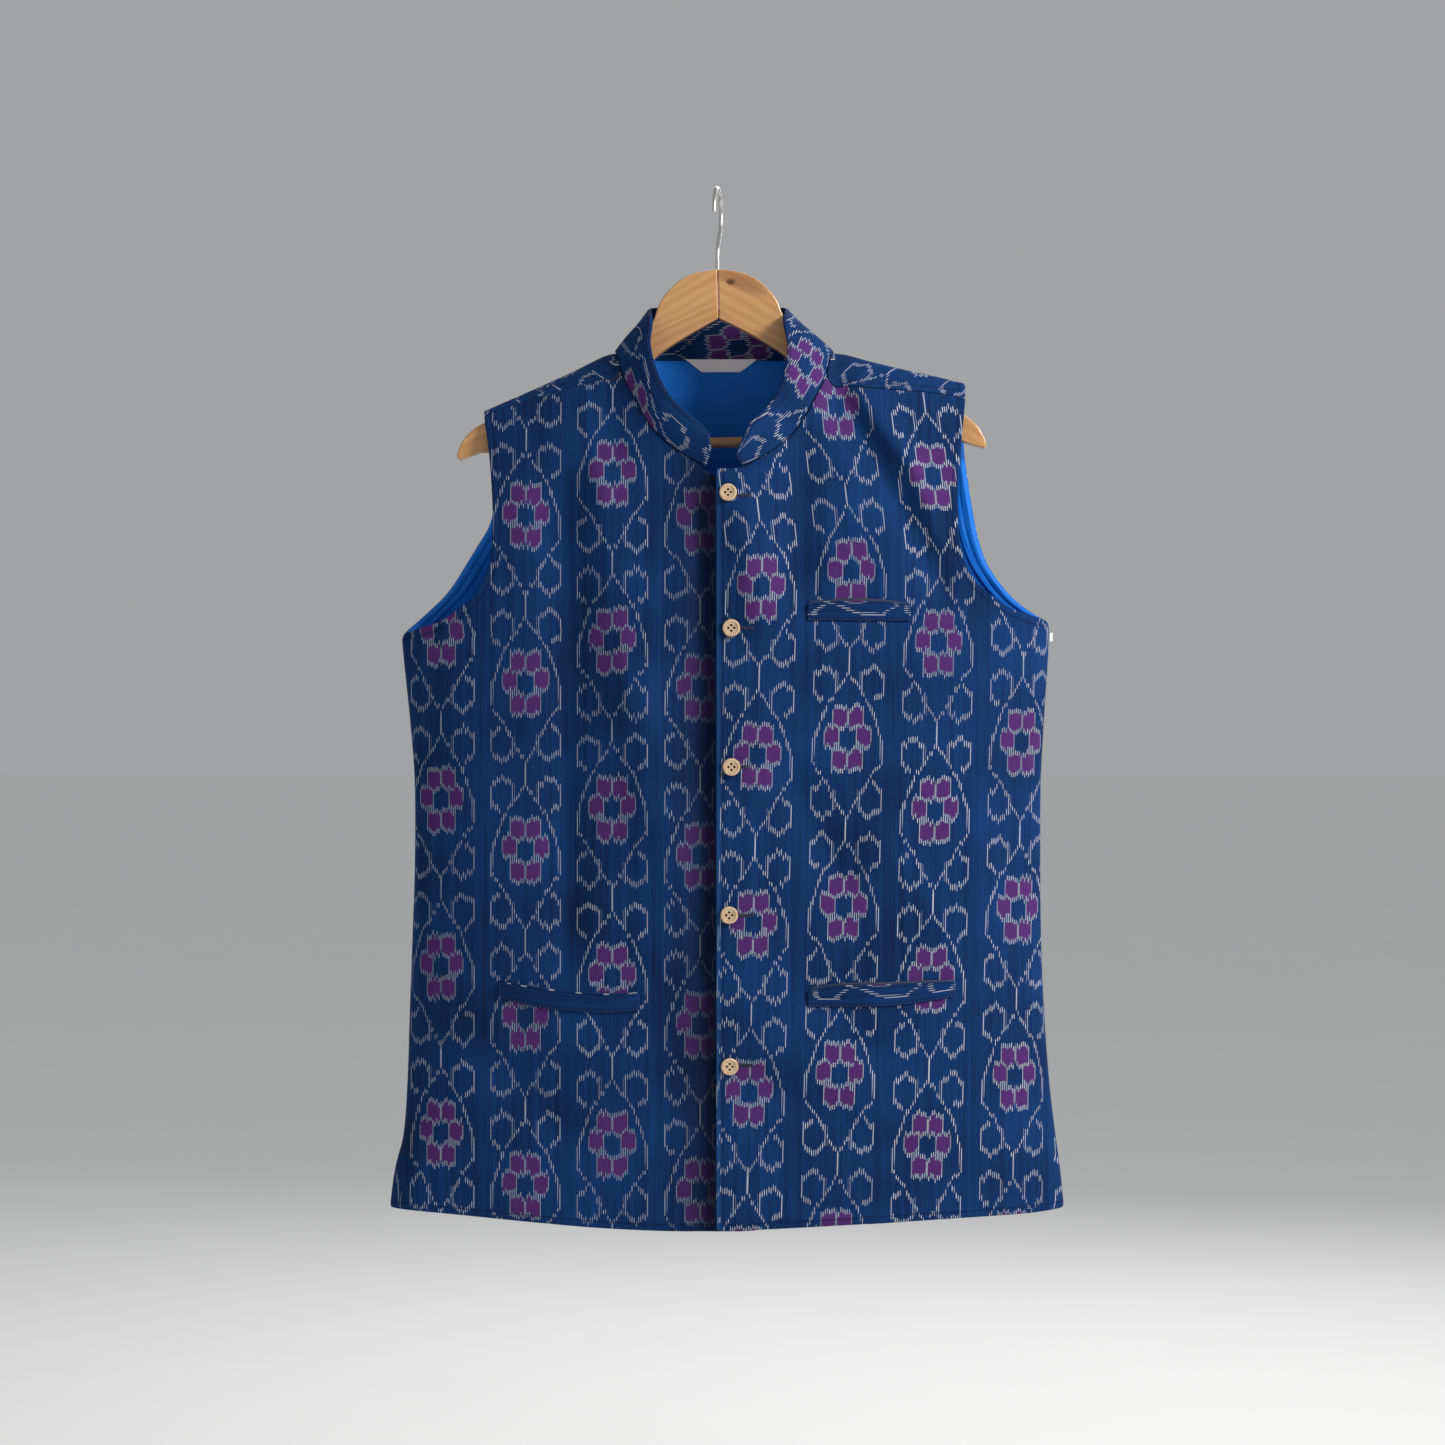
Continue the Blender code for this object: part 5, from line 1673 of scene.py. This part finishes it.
@dataclass
class StandCollar:
    """The band that stands round the neck, with its curved front ends."""

    finishes: Finishes
    cloth: float = 2.5
    rows: int = 12
    shift: float = -5.5
    bow: float = 2.2
    seam_share: float = 0.4
    drawn_from: float = 75.0
    drawn_over: float = 50.0
    drawn_along: float = 44.5
    drawn_up: float = -2.0
    fall: tuple[float, float, float] = (-2.5, 0.0, -15.0)
    fall_reach: float = 20.0
    turning: tuple[Pair, ...] = ((-2.0, 0.9), (1.0, 1.5), (5.0, 2.0))
    turning_cloth: float = 0.5
    end_columns: int = 3
    end_round: float = 5.0
    end_drop: float = 3.0
    stitch: float = 2.4
    cut: Pair = (0.470, 0.048)

    def sections(self) -> list[tuple[Vector, Vector, float]]:
        """(seam point, stand, gap at the seam) around the neck, from the left front end to the right one."""
        halves = []
        for side in Side:
            neckline = FORM.front_neckline(side)
            end = (FORM.centre + side * NECKLINE[0].out, FORM.neck_point + NECKLINE[0].drop - 1.5)
            seam = [p for p in neckline if p[0] < end[0] - 9] if side < 0 else neckline[1:]
            lead = [tuple(blend(p, q, k / 3) for p, q in zip(end, seam[0])) for k in range(3)]
            ring = [(x, FORM.q_at(x, below, Face.FRONT)) for x, below in lead + seam]
            back = [(x, FORM.q_at(x, below, Face.BACK)) for x, below in FORM.back_neckline(side)]
            ring += [tuple(blend(p, q, k / 4) for p, q in zip(ring[-1], back[0])) for k in range(1, 4)] + back
            points = [FORM.front_point(side, x, q) if q > 0 else FORM.place(x, q) for x, q in ring]
            lengths = [0.0]
            for a, b in zip(points, points[1:]):
                lengths.append(lengths[-1] + (b - a).length)
            half = []
            for point, length in zip(points, lengths):
                at = length / lengths[-1]
                stand = Vector((
                    -side * read_table(COLLAR_STAND, "inward", at) + self.shift * ease(at / 0.6),
                    -read_table(COLLAR_STAND, "fore", at),
                    read_table(COLLAR_STAND, "up", at),
                ))
                half.append((point, stand, read_table(COLLAR_STAND, "start", at)))
            halves.append(half)
        return halves[0] + halves[1][::-1][1:]

    def build(self) -> None:
        """Makes the collar and sews its edge."""
        sections = self.sections()
        middle = Vector((FORM.centre, 0.0, -FORM.neck_point))
        lengths = [0.0]
        for (a, _, _), (b, _, _) in zip(sections, sections[1:]):
            lengths.append(lengths[-1] + (b - a).length)
        last = len(sections) - 1
        grid = []
        for k in range(self.rows + 1):
            t = k / self.rows
            row = []
            for n, (seam, stand, gap) in enumerate(sections):
                start = self.seam_share * gap / stand.length
                away = (seam - middle) * Vector((1, 1, 0))
                point = seam + stand * (start + (1 - start) * t)
                point += away.normalized() * self.bow * 4 * t * (1 - t)
                way = 1 if n < last / 2 else -1
                near = max(1 - min(n, last - n) / self.end_columns, 0.0)
                point.x += way * near * self.end_round * math.sin(math.pi * min(t, 0.8))
                point.z -= near * self.end_drop * ease((t - 0.6) / 0.4)
                close = max(1 - (seam - sections[-1][0]).length / self.fall_reach, 0)
                point += Vector(self.fall) * close**2 * t
                along = lengths[n] - 0.5 * lengths[-1]
                drawn = ease((-along - self.drawn_from) / self.drawn_over)
                across = stand.length * t + self.drawn_up * drawn
                row.append(Spot(point, across, along + self.drawn_along * drawn))
            grid.append(row)
        edges = dense([spot.at for spot in grid[-1]]) + dense([row[0].at for row in grid])
        edges += dense([row[-1].at for row in grid])
        obj = cloth_from("collar_cloth", [grid], [self.finishes.collar], edges)
        hang(obj, self.cloth, "ikat", "collar", self.cut)
        self.build_turning(grid)
        sewing = Topstitching("collar_stitches", self.finishes.thread)
        lift = 0.5 * self.cloth + ABOVE_CLOTH
        for face in (lift, -lift):
            sewing.inset(grid, face, Edge.LAST_ROW, self.stitch)
            sewing.inset(grid, face, Edge.FIRST_COLUMN, self.stitch)
            sewing.inset(grid, face, Edge.LAST_COLUMN, self.stitch)
        sewing.build()

    def build_turning(self, collar: Grid) -> None:
        """Makes the seam turning, which runs down and inwards from the collar inside the neckline."""
        rows: Grid = [[], [], []]
        middle = Vector((FORM.centre, 0.0, 0.0))
        for low, high in zip(collar[0], collar[1]):
            down = (low.at - high.at).normalized()
            inward = (middle - low.at) * Vector((1, 1, 0))
            inward.normalize()
            for row, (drop, shift) in zip(rows, self.turning):
                row.append(Spot(low.at + down * drop + inward * shift, low.across - drop, low.along))
        obj = cloth_from("collar_turning", [rows[::-1]], [self.finishes.collar])
        thicken(obj, self.turning_cloth, rounds=0)
        hand_over(obj, "ikat")


@dataclass
class WeltPocket:
    """A narrow welt, its sewn ends and the mouth of the pocket above it, which is a dark strip of painted
    shade where the mouth is narrow.
    """

    name: str
    start: float
    end: float
    material: bpy.types.Material
    finishes: Finishes
    gape: float = 1.0
    cloth: float = 1.6
    panel: float = 1.6
    lift: float = 1.5
    gap: float = 0.15
    lean: float = 0.7
    ends: float = 0.16
    turning: float = 4.0
    spare: float = 1.03
    end_stitch: float = 1.8
    foot_stitch: float = 1.6
    thread_lift: float = 0.05
    wide_gape: float = 1.5
    mouth_cloth: float = 0.3
    mouth_gap: float = 0.25
    mouth_lean: float = 0.1
    mouth_inset: float = 0.015
    mouth_ends: float = 0.3
    mouth_under: float = 3.0
    mouth_height: float = 3.9
    mouth_gape: float = 0.8
    mouth_across: float = 12.0
    mouth_rows: int = 3
    columns: int = 30
    rows: int = 5

    def build(self) -> None:
        """Makes the welt, its stitches and the mouth above it."""
        edges_of_welt = WELTS[self.name]
        grid = []
        for i in range(self.rows + 1):
            up = i / self.rows
            row = []
            for j in range(self.columns + 1):
                share = j / self.columns
                x = blend(self.start, self.end, share)
                low = read_table(edges_of_welt, "bottom", share)
                below = blend(low, read_table(edges_of_welt, "top", share), up)
                face, normal = FORM.outer_face(x, below, self.panel)
                loose = ease(min(share, 1 - share) / self.ends) * ease(up)
                away = 0.5 * self.cloth + self.gap
                away += (self.lift + self.gape * loose) * ease(up * 1.4) * self.lean
                row.append(Spot(face + normal * away, low - below, x - self.start))
            grid.append(row)
        edges = [p for line in (grid[0], grid[-1]) for p in dense([spot.at for spot in line])]
        edges += dense([row[0].at for row in grid]) + dense([row[-1].at for row in grid])
        obj = cloth_from(f"{self.name}_cloth", [grid], [self.material], edges)
        height = edges_of_welt[0].bottom - edges_of_welt[0].top + self.turning
        panel = "front_left_cloth" if self.start < 0 else "front_right_cloth"
        cut = (abs(self.end - self.start) * self.spare * MM, height * MM)
        hang(obj, self.cloth, "ikat", self.name, cut)
        sewing = Topstitching(f"{self.name}_stitches", self.finishes.thread)
        lift = 0.5 * self.cloth + self.thread_lift
        sewing.inset(grid, lift, Edge.FIRST_COLUMN, self.end_stitch)
        sewing.inset(grid, lift, Edge.LAST_COLUMN, self.end_stitch)
        sewing.inset(grid, lift, Edge.FIRST_ROW, self.foot_stitch)
        sewing.build()
        self.build_mouth(edges_of_welt)

    def build_mouth(self, edges_of_welt: Sequence[WeltRow]) -> None:
        """Makes the strip that shows in the pocket's mouth: facing cloth where it gapes wide, and elsewhere a
        dark strip of painted shade for the narrow slit.
        """
        grid = []
        for i in range(self.mouth_rows + 1):
            up = i / self.mouth_rows
            row = []
            for j in range(self.columns + 1):
                share = self.mouth_inset + (1 - 2 * self.mouth_inset) * j / self.columns
                x = blend(self.start, self.end, share)
                loose = ease(min(share, 1 - share) / self.mouth_ends)
                foot = read_table(edges_of_welt, "top", share) + self.mouth_under
                below = foot - up * (self.mouth_height + self.mouth_gape * self.gape * loose)
                face, normal = FORM.outer_face(x, below, self.panel)
                away = self.mouth_gap + self.mouth_lean * up
                row.append(Spot(face + normal * away, self.mouth_across + i, x - self.start))
            grid.append(row)
        # A narrow mouth gets the dark thread finish as painted shade in the slit.
        finish = self.finishes.facing if self.gape > self.wide_gape else self.finishes.dark_thread_and_painted_shade
        obj = cloth_from(f"{self.name}_mouth", [grid], [finish])
        thicken(obj, self.mouth_cloth, rounds=0)
        hand_over(obj, "ikat")


@dataclass
class TurnedButton:
    """A dished wooden button with four holes and its thread."""

    index: int
    row: ButtonRow
    finishes: Finishes
    radius: float = 7.3
    thick: float = 2.8
    hole_out: float = 2.4
    hole: float = 1.05
    holes: int = 4
    strand_radius: float = 0.45
    strand_shift: Pair = (0.36, 0.16)
    strand_heights: tuple[float, ...] = (0.05, 0.2, 0.36)
    gap: float = 0.45
    panel: float = 1.6
    steps: int = 48

    def profile(self) -> list[Pair]:
        """(radius, height) of the turned shape, from its face's middle round to its back's middle."""
        r, t = self.radius, self.thick
        return [
            (0.0, 0.74 * t), (0.35 * r, 0.745 * t), (0.60 * r, 0.79 * t), (0.70 * r, 0.90 * t),
            (0.78 * r, 0.99 * t), (0.86 * r, t), (0.93 * r, 0.93 * t), (0.98 * r, 0.78 * t), (r, 0.6 * t),
            (0.975 * r, 0.38 * t), (0.90 * r, 0.16 * t), (0.78 * r, 0.03 * t), (0.6 * r, 0.0), (0.0, 0.0),
        ]

    def disc(self) -> bpy.types.Mesh:
        """The button's mesh with its holes cut."""
        mesh = bmesh.new()
        rings = []
        for reach, up in self.profile():
            if reach == 0:
                rings.append([mesh.verts.new(Vector((0, 0, up)) * MM)])
                continue
            angles = [math.tau * k / self.steps for k in range(self.steps)]
            rings.append([
                mesh.verts.new(Vector((reach * math.cos(angle), reach * math.sin(angle), up)) * MM)
                for angle in angles
            ])
        for low, high in zip(rings, rings[1:]):
            for k in range(self.steps):
                m = (k + 1) % self.steps
                corners = [low[k % len(low)], high[k % len(high)], high[m % len(high)], low[m % len(low)]]
                mesh.faces.new(list(dict.fromkeys(corners)))
        bmesh.ops.recalc_face_normals(mesh, faces=mesh.faces[:])
        whole = object_from(mesh, "button_disc")
        bpy.context.scene.collection.objects.link(whole)
        drill = bmesh.new()
        for k in range(self.holes):
            angle = math.tau * k / self.holes
            at = Vector((self.hole_out * math.cos(angle), self.hole_out * math.sin(angle), 0.5 * self.thick))
            bmesh.ops.create_cone(
                drill, cap_ends=True, segments=16, radius1=self.hole * MM, radius2=self.hole * MM,
                depth=4 * self.thick * MM, matrix=Matrix.Translation(at * MM),
            )
        bit = object_from(drill, "button_drill")
        bpy.context.scene.collection.objects.link(bit)
        cut = whole.modifiers.new("holes", "BOOLEAN")
        cut.operation = "DIFFERENCE"
        cut.object = bit
        bpy.context.view_layer.update()
        done = bpy.data.meshes.new_from_object(whole.evaluated_get(bpy.context.evaluated_depsgraph_get()))
        for helper in (whole, bit):
            bpy.data.objects.remove(helper, do_unlink=True)
        done.shade_smooth()
        done.set_sharp_from_angle(angle=math.radians(50))
        return done

    def seat(self) -> Matrix:
        """Where the button sits on the cloth."""
        face, normal = FORM.outer_face(self.row.x, self.row.below, self.panel)
        turn = normal.to_track_quat("Z", "Y").to_matrix().to_4x4()
        return Matrix.Translation((face + normal * self.gap) * MM) @ turn

    def build(self, disc: bpy.types.Mesh) -> None:
        """Places the button and sews it on."""
        name = f"button_{self.index}"
        obj = bpy.data.objects.new(f"{name}_turned", disc)
        obj.matrix_world = self.seat()
        if not disc.materials:
            disc.materials.append(self.finishes.button)
        hand_over(obj, "button", name)
        mesh = bmesh.new()
        for k in range(self.holes):
            angle = math.tau * k / self.holes
            way = Vector((math.cos(angle), math.sin(angle), 0)) * self.hole_out
            for turn in (-1, 1):
                side = Vector((*self.strand_shift, 0)) * turn
                points = [way + side + Vector((0, 0, self.thick * up)) for up in self.strand_heights]
                self.strand(mesh, points, self.strand_radius)
        thread = object_from(mesh, f"{name}_thread", self.finishes.dark_thread_and_painted_shade)
        thread.matrix_world = self.seat()
        hand_over(thread, "button")

    @staticmethod
    def strand(mesh: bmesh.types.BMesh, points: Sequence[Vector], radius: float, sides: int = 6) -> None:
        """Adds a closed round strand along some points, in millimetres."""
        rings = []
        for k, point in enumerate(points):
            way = (points[min(k + 1, len(points) - 1)] - points[max(k - 1, 0)]).normalized()
            side = way.cross(Vector((0.31, 0.52, 0.79))).normalized()
            up = side.cross(way)
            angles = [math.tau * m / sides for m in range(sides)]
            rings.append([
                mesh.verts.new((point + (side * math.cos(angle) + up * math.sin(angle)) * radius) * MM)
                for angle in angles
            ])
        for low, high in zip(rings, rings[1:]):
            for m in range(sides):
                n = (m + 1) % sides
                mesh.faces.new((low[m], low[n], high[n], high[m]))
        mesh.faces.new(rings[0][::-1])
        mesh.faces.new(rings[-1])


@dataclass
class Buttonhole:
    """The worked end of a buttonhole that shows beside its button."""

    index: int
    row: ButtonRow
    finishes: Finishes
    start: float = -3.0
    half: float = 1.25
    pitch: float = 0.5
    strand_sides: int = 5
    lip_radius: float = 0.24
    lip_shares: tuple[float, ...] = (0.12, 0.55, 1.0)
    lip_crest: float = 0.4
    lip_lift: float = 0.30
    lip_slope: float = 0.28
    bar_radius: float = 0.22
    bar_shares: tuple[float, ...] = (-1.15, -0.4, 0.4, 1.15)
    bar_strands: int = 5
    bar_pitch: float = 0.28
    bar_gap: float = 0.25
    bar_lift: float = 0.28
    panel: float = 1.6

    def build(self) -> None:
        """Works the stitches of both lips and the bar at the end."""
        mesh = bmesh.new()
        middle = self.row.below + self.row.hole_drop
        count = int((self.row.hole_end - self.start) / self.pitch)
        for k in range(count + 1):
            x = self.row.x + self.start + k * self.pitch
            for lip in (-1, 1):
                points = []
                for out in self.lip_shares:
                    face, normal = FORM.outer_face(x, middle + lip * self.half * out, self.panel)
                    lift = self.lip_lift - self.lip_slope * abs(out - self.lip_crest)
                    points.append(face + normal * lift)
                TurnedButton.strand(mesh, points, self.lip_radius, self.strand_sides)
        for k in range(self.bar_strands):
            x = self.row.x + self.row.hole_end + self.bar_gap + self.bar_pitch * k
            points = []
            for out in self.bar_shares:
                face, normal = FORM.outer_face(x, middle + self.half * out, self.panel)
                points.append(face + normal * self.bar_lift)
            TurnedButton.strand(mesh, points, self.bar_radius, self.strand_sides)
        hand_over(object_from(mesh, f"buttonhole_{self.index}", self.finishes.dark_thread_and_painted_shade), "ikat")


@dataclass
class NeckLabel:
    """The blank white label under the back of the collar."""

    finishes: Finishes
    top: float = 137.4
    height: float = 11.0
    centre: float = 3.0
    wide: float = 30.8
    narrow: float = 16.2
    cloth: float = 0.8
    before_back: float = 4.0
    stitch: float = 1.0
    cut: Pair = (0.062, 0.0115)
    columns: int = 24
    rows: int = 6

    def build(self) -> None:
        """Makes the label in front of the lining."""
        grid = []
        for i in range(self.rows + 1):
            up = i / self.rows
            row = []
            for j in range(self.columns + 1):
                half = blend(self.narrow, self.wide, up)
                x = self.centre + half * (2 * j / self.columns - 1)
                below = self.top + self.height * (1 - up)
                at = FORM.place(x, FORM.q_at(x, below, Face.BACK))
                at.y -= self.before_back
                row.append(Spot(at, x, below))
            grid.append(row)
        obj = cloth_from("neck_label_tape", [grid], [self.finishes.tape])
        hang(obj, self.cloth, "label", "neck_label", self.cut)
        sewing = Topstitching("neck_label_stitches", self.finishes.tape, pitch=2.2, length=1.6, radius=0.16)
        sewing.inset(grid, 0.5 * self.cloth + 0.05, Edge.LAST_ROW, self.stitch)
        sewing.build()


@dataclass
class WoodenHanger:
    """The two halves of the wood, the bar and the wire hook."""

    finishes: Finishes
    root: float = 66.4
    tilt: float = 1.3
    thick: float = 15.0
    bevel: float = 4.2
    wire: float = 1.65
    bend: float = 20.6
    turn: float = 8.0

    def pivot(self) -> Matrix:
        """The wood's tilt about the foot of the hook."""
        return Matrix.Translation((0, 0, -self.root * MM)) @ Matrix.Rotation(-math.radians(self.tilt), 4, "Y")

    def arm(self, side: Side) -> None:
        """Makes one half of the wood, with its edges rounded."""
        top = through([(row.out, row.below) for row in WOOD_TOP], steps=4)
        under = through([(row.out, row.below) for row in WOOD_UNDER], steps=4)
        mesh = bmesh.new()
        outline = [
            mesh.verts.new(Vector((side * out, -0.5 * self.thick, self.root - below)) * MM)
            for out, below in top + under
        ]
        face = mesh.faces.new(outline if side > 0 else outline[::-1])
        pushed = bmesh.ops.extrude_face_region(mesh, geom=[face])
        moved = [item for item in pushed["geom"] if isinstance(item, bmesh.types.BMVert)]
        bmesh.ops.translate(mesh, verts=moved, vec=Vector((0, self.thick, 0)) * MM)
        bmesh.ops.recalc_face_normals(mesh, faces=mesh.faces[:])
        mesh.transform(self.pivot())
        name = f"hanger_arm_{side.name.lower()}"
        obj = object_from(mesh, f"{name}_wood", self.finishes.wood[side])
        soft = obj.modifiers.new("soft_edges", "BEVEL")
        soft.width = self.bevel * MM
        soft.segments = 6
        soft.limit_method = "ANGLE"
        soft.angle_limit = math.radians(60)
        soft.harden_normals = True
        hand_over(obj, "wood", name)

    def hook(self) -> None:
        """Makes the wire, up out of the wood and round to the near side."""
        middle = self.bend - self.wire
        arc = [
            (self.bend * math.cos(math.radians(angle)), middle - self.bend * math.sin(math.radians(angle)))
            for angle in range(-60, 187, 5)
        ]
        foot = through([(0.0, self.root + 12.0), (0.0, self.root), (0.0, 54.0), (2.2, 47.0), arc[0]], steps=6)
        turn = math.radians(self.turn)
        curve = bpy.data.curves.new("hanger_hook_wire", "CURVE")
        curve.dimensions = "3D"
        curve.bevel_depth = self.wire * MM
        curve.bevel_resolution = 5
        curve.use_fill_caps = True
        spline = curve.splines.new("POLY")
        points = foot[:-1] + arc
        spline.points.add(len(points) - 1)
        for target, (reach, below) in zip(spline.points, points):
            at = Vector((reach * math.sin(turn), reach * math.cos(turn), -below)) * MM
            target.co = (*at, 1.0)
        curve.materials.append(self.finishes.wire)
        hand_over(bpy.data.objects.new("hanger_hook_wire", curve), "steel", "hanger_hook")

    def build(self) -> None:
        """Makes the hanger. The bar and the side label keep their own solids."""
        for side in Side:
            self.arm(side)
        self.hook()
        for node, finish in (("hanger_bar", self.finishes.bar), ("side_label", self.finishes.tape)):
            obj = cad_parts[node]
            obj.data.materials.clear()
            obj.data.materials.append(finish)
            LOG.info("%s: dressed", node)


@dataclass
class Studio:
    """The camera, a pale floor and soft light that is stronger from the right."""

    distance: float = 3.2
    eye: Pair = (0.00415, -0.442)
    lens: float = 96.0
    sensor: float = 36.0
    floor: float = -1.3
    floor_size: float = 60.0
    jacket_middle: float = -0.45
    surroundings: tuple[float, float, float, float] = (0.86, 0.87, 0.88, 1.0)
    surroundings_strength: float = 0.42

    def lamp(
        self, name: str, at: tuple[float, float, float], size: float, power: float, tint: Colour
    ) -> None:
        """Adds a square soft light that faces the jacket."""
        data = bpy.data.lights.new(name, "AREA")
        data.shape = "SQUARE"
        data.size = size
        data.energy = power
        data.color = tint
        obj = bpy.data.objects.new(name, data)
        obj.location = at
        beam = Vector((0, 0, self.jacket_middle)) - Vector(at)
        obj.rotation_euler = beam.to_track_quat("-Z", "Y").to_euler()
        bpy.context.scene.collection.objects.link(obj)

    def build(self) -> None:
        """Makes the camera, the floor and the lights."""
        data = bpy.data.cameras.new("camera")
        data.lens = self.lens
        data.sensor_width = self.sensor
        camera = bpy.data.objects.new("camera", data)
        camera.location = (self.eye[0], -self.distance, self.eye[1])
        camera.rotation_euler = (math.radians(90), 0, 0)
        bpy.context.scene.collection.objects.link(camera)
        bpy.context.scene.camera = camera
        mesh = bmesh.new()
        bmesh.ops.create_grid(mesh, x_segments=1, y_segments=1, size=self.floor_size)
        floor = object_from(mesh, "floor", Paint("studio_floor").make())
        floor.location = (0, 0, self.floor)
        bpy.context.scene.collection.objects.link(floor)
        world = bpy.data.worlds.new("studio")
        world.use_nodes = True
        background = world.node_tree.nodes["Background"]
        background.inputs["Color"].default_value = self.surroundings
        background.inputs["Strength"].default_value = self.surroundings_strength
        bpy.context.scene.world = world
        self.lamp("key", (1.75, -1.0, 0.7), 0.7, 62.0, (1.0, 0.985, 0.96))
        self.lamp("fill", (-1.9, -2.2, 0.2), 1.6, 3.0, (0.96, 0.98, 1.0))
        self.lamp("rear", (0.6, 2.6, 1.0), 1.8, 30.0, (1.0, 1.0, 1.0))
        bpy.context.scene.view_settings.view_transform = "Standard"


def write_sizes() -> None:
    """Updates the view layer."""
    bpy.context.view_layer.update()


def main() -> None:
    """Builds the jacket, the hanger and the studio in order."""
    logging.basicConfig(level=logging.INFO, format="%(message)s")
    finishes = Finishes()
    Studio().build()
    for side in Side:
        FrontPanel(side, finishes).build()
    BackPanel(finishes).build()
    StandCollar(finishes).build()
    WeltPocket("welt_breast", 73.3, 158.5, finishes.welt_breast, finishes).build()
    WeltPocket("welt_left", -179.6, -63.4, finishes.welt_left, finishes, gape=2.4).build()
    WeltPocket("welt_right", 73.3, 195.3, finishes.welt_right, finishes).build()
    disc = None
    for index, row in enumerate(BUTTONS, 1):
        button = TurnedButton(index, row, finishes)
        disc = disc or button.disc()
        button.build(disc)
        Buttonhole(index, row, finishes).build()
    NeckLabel(finishes).build()
    WoodenHanger(finishes).build()
    write_sizes()


if __name__ == "__main__":
    main()
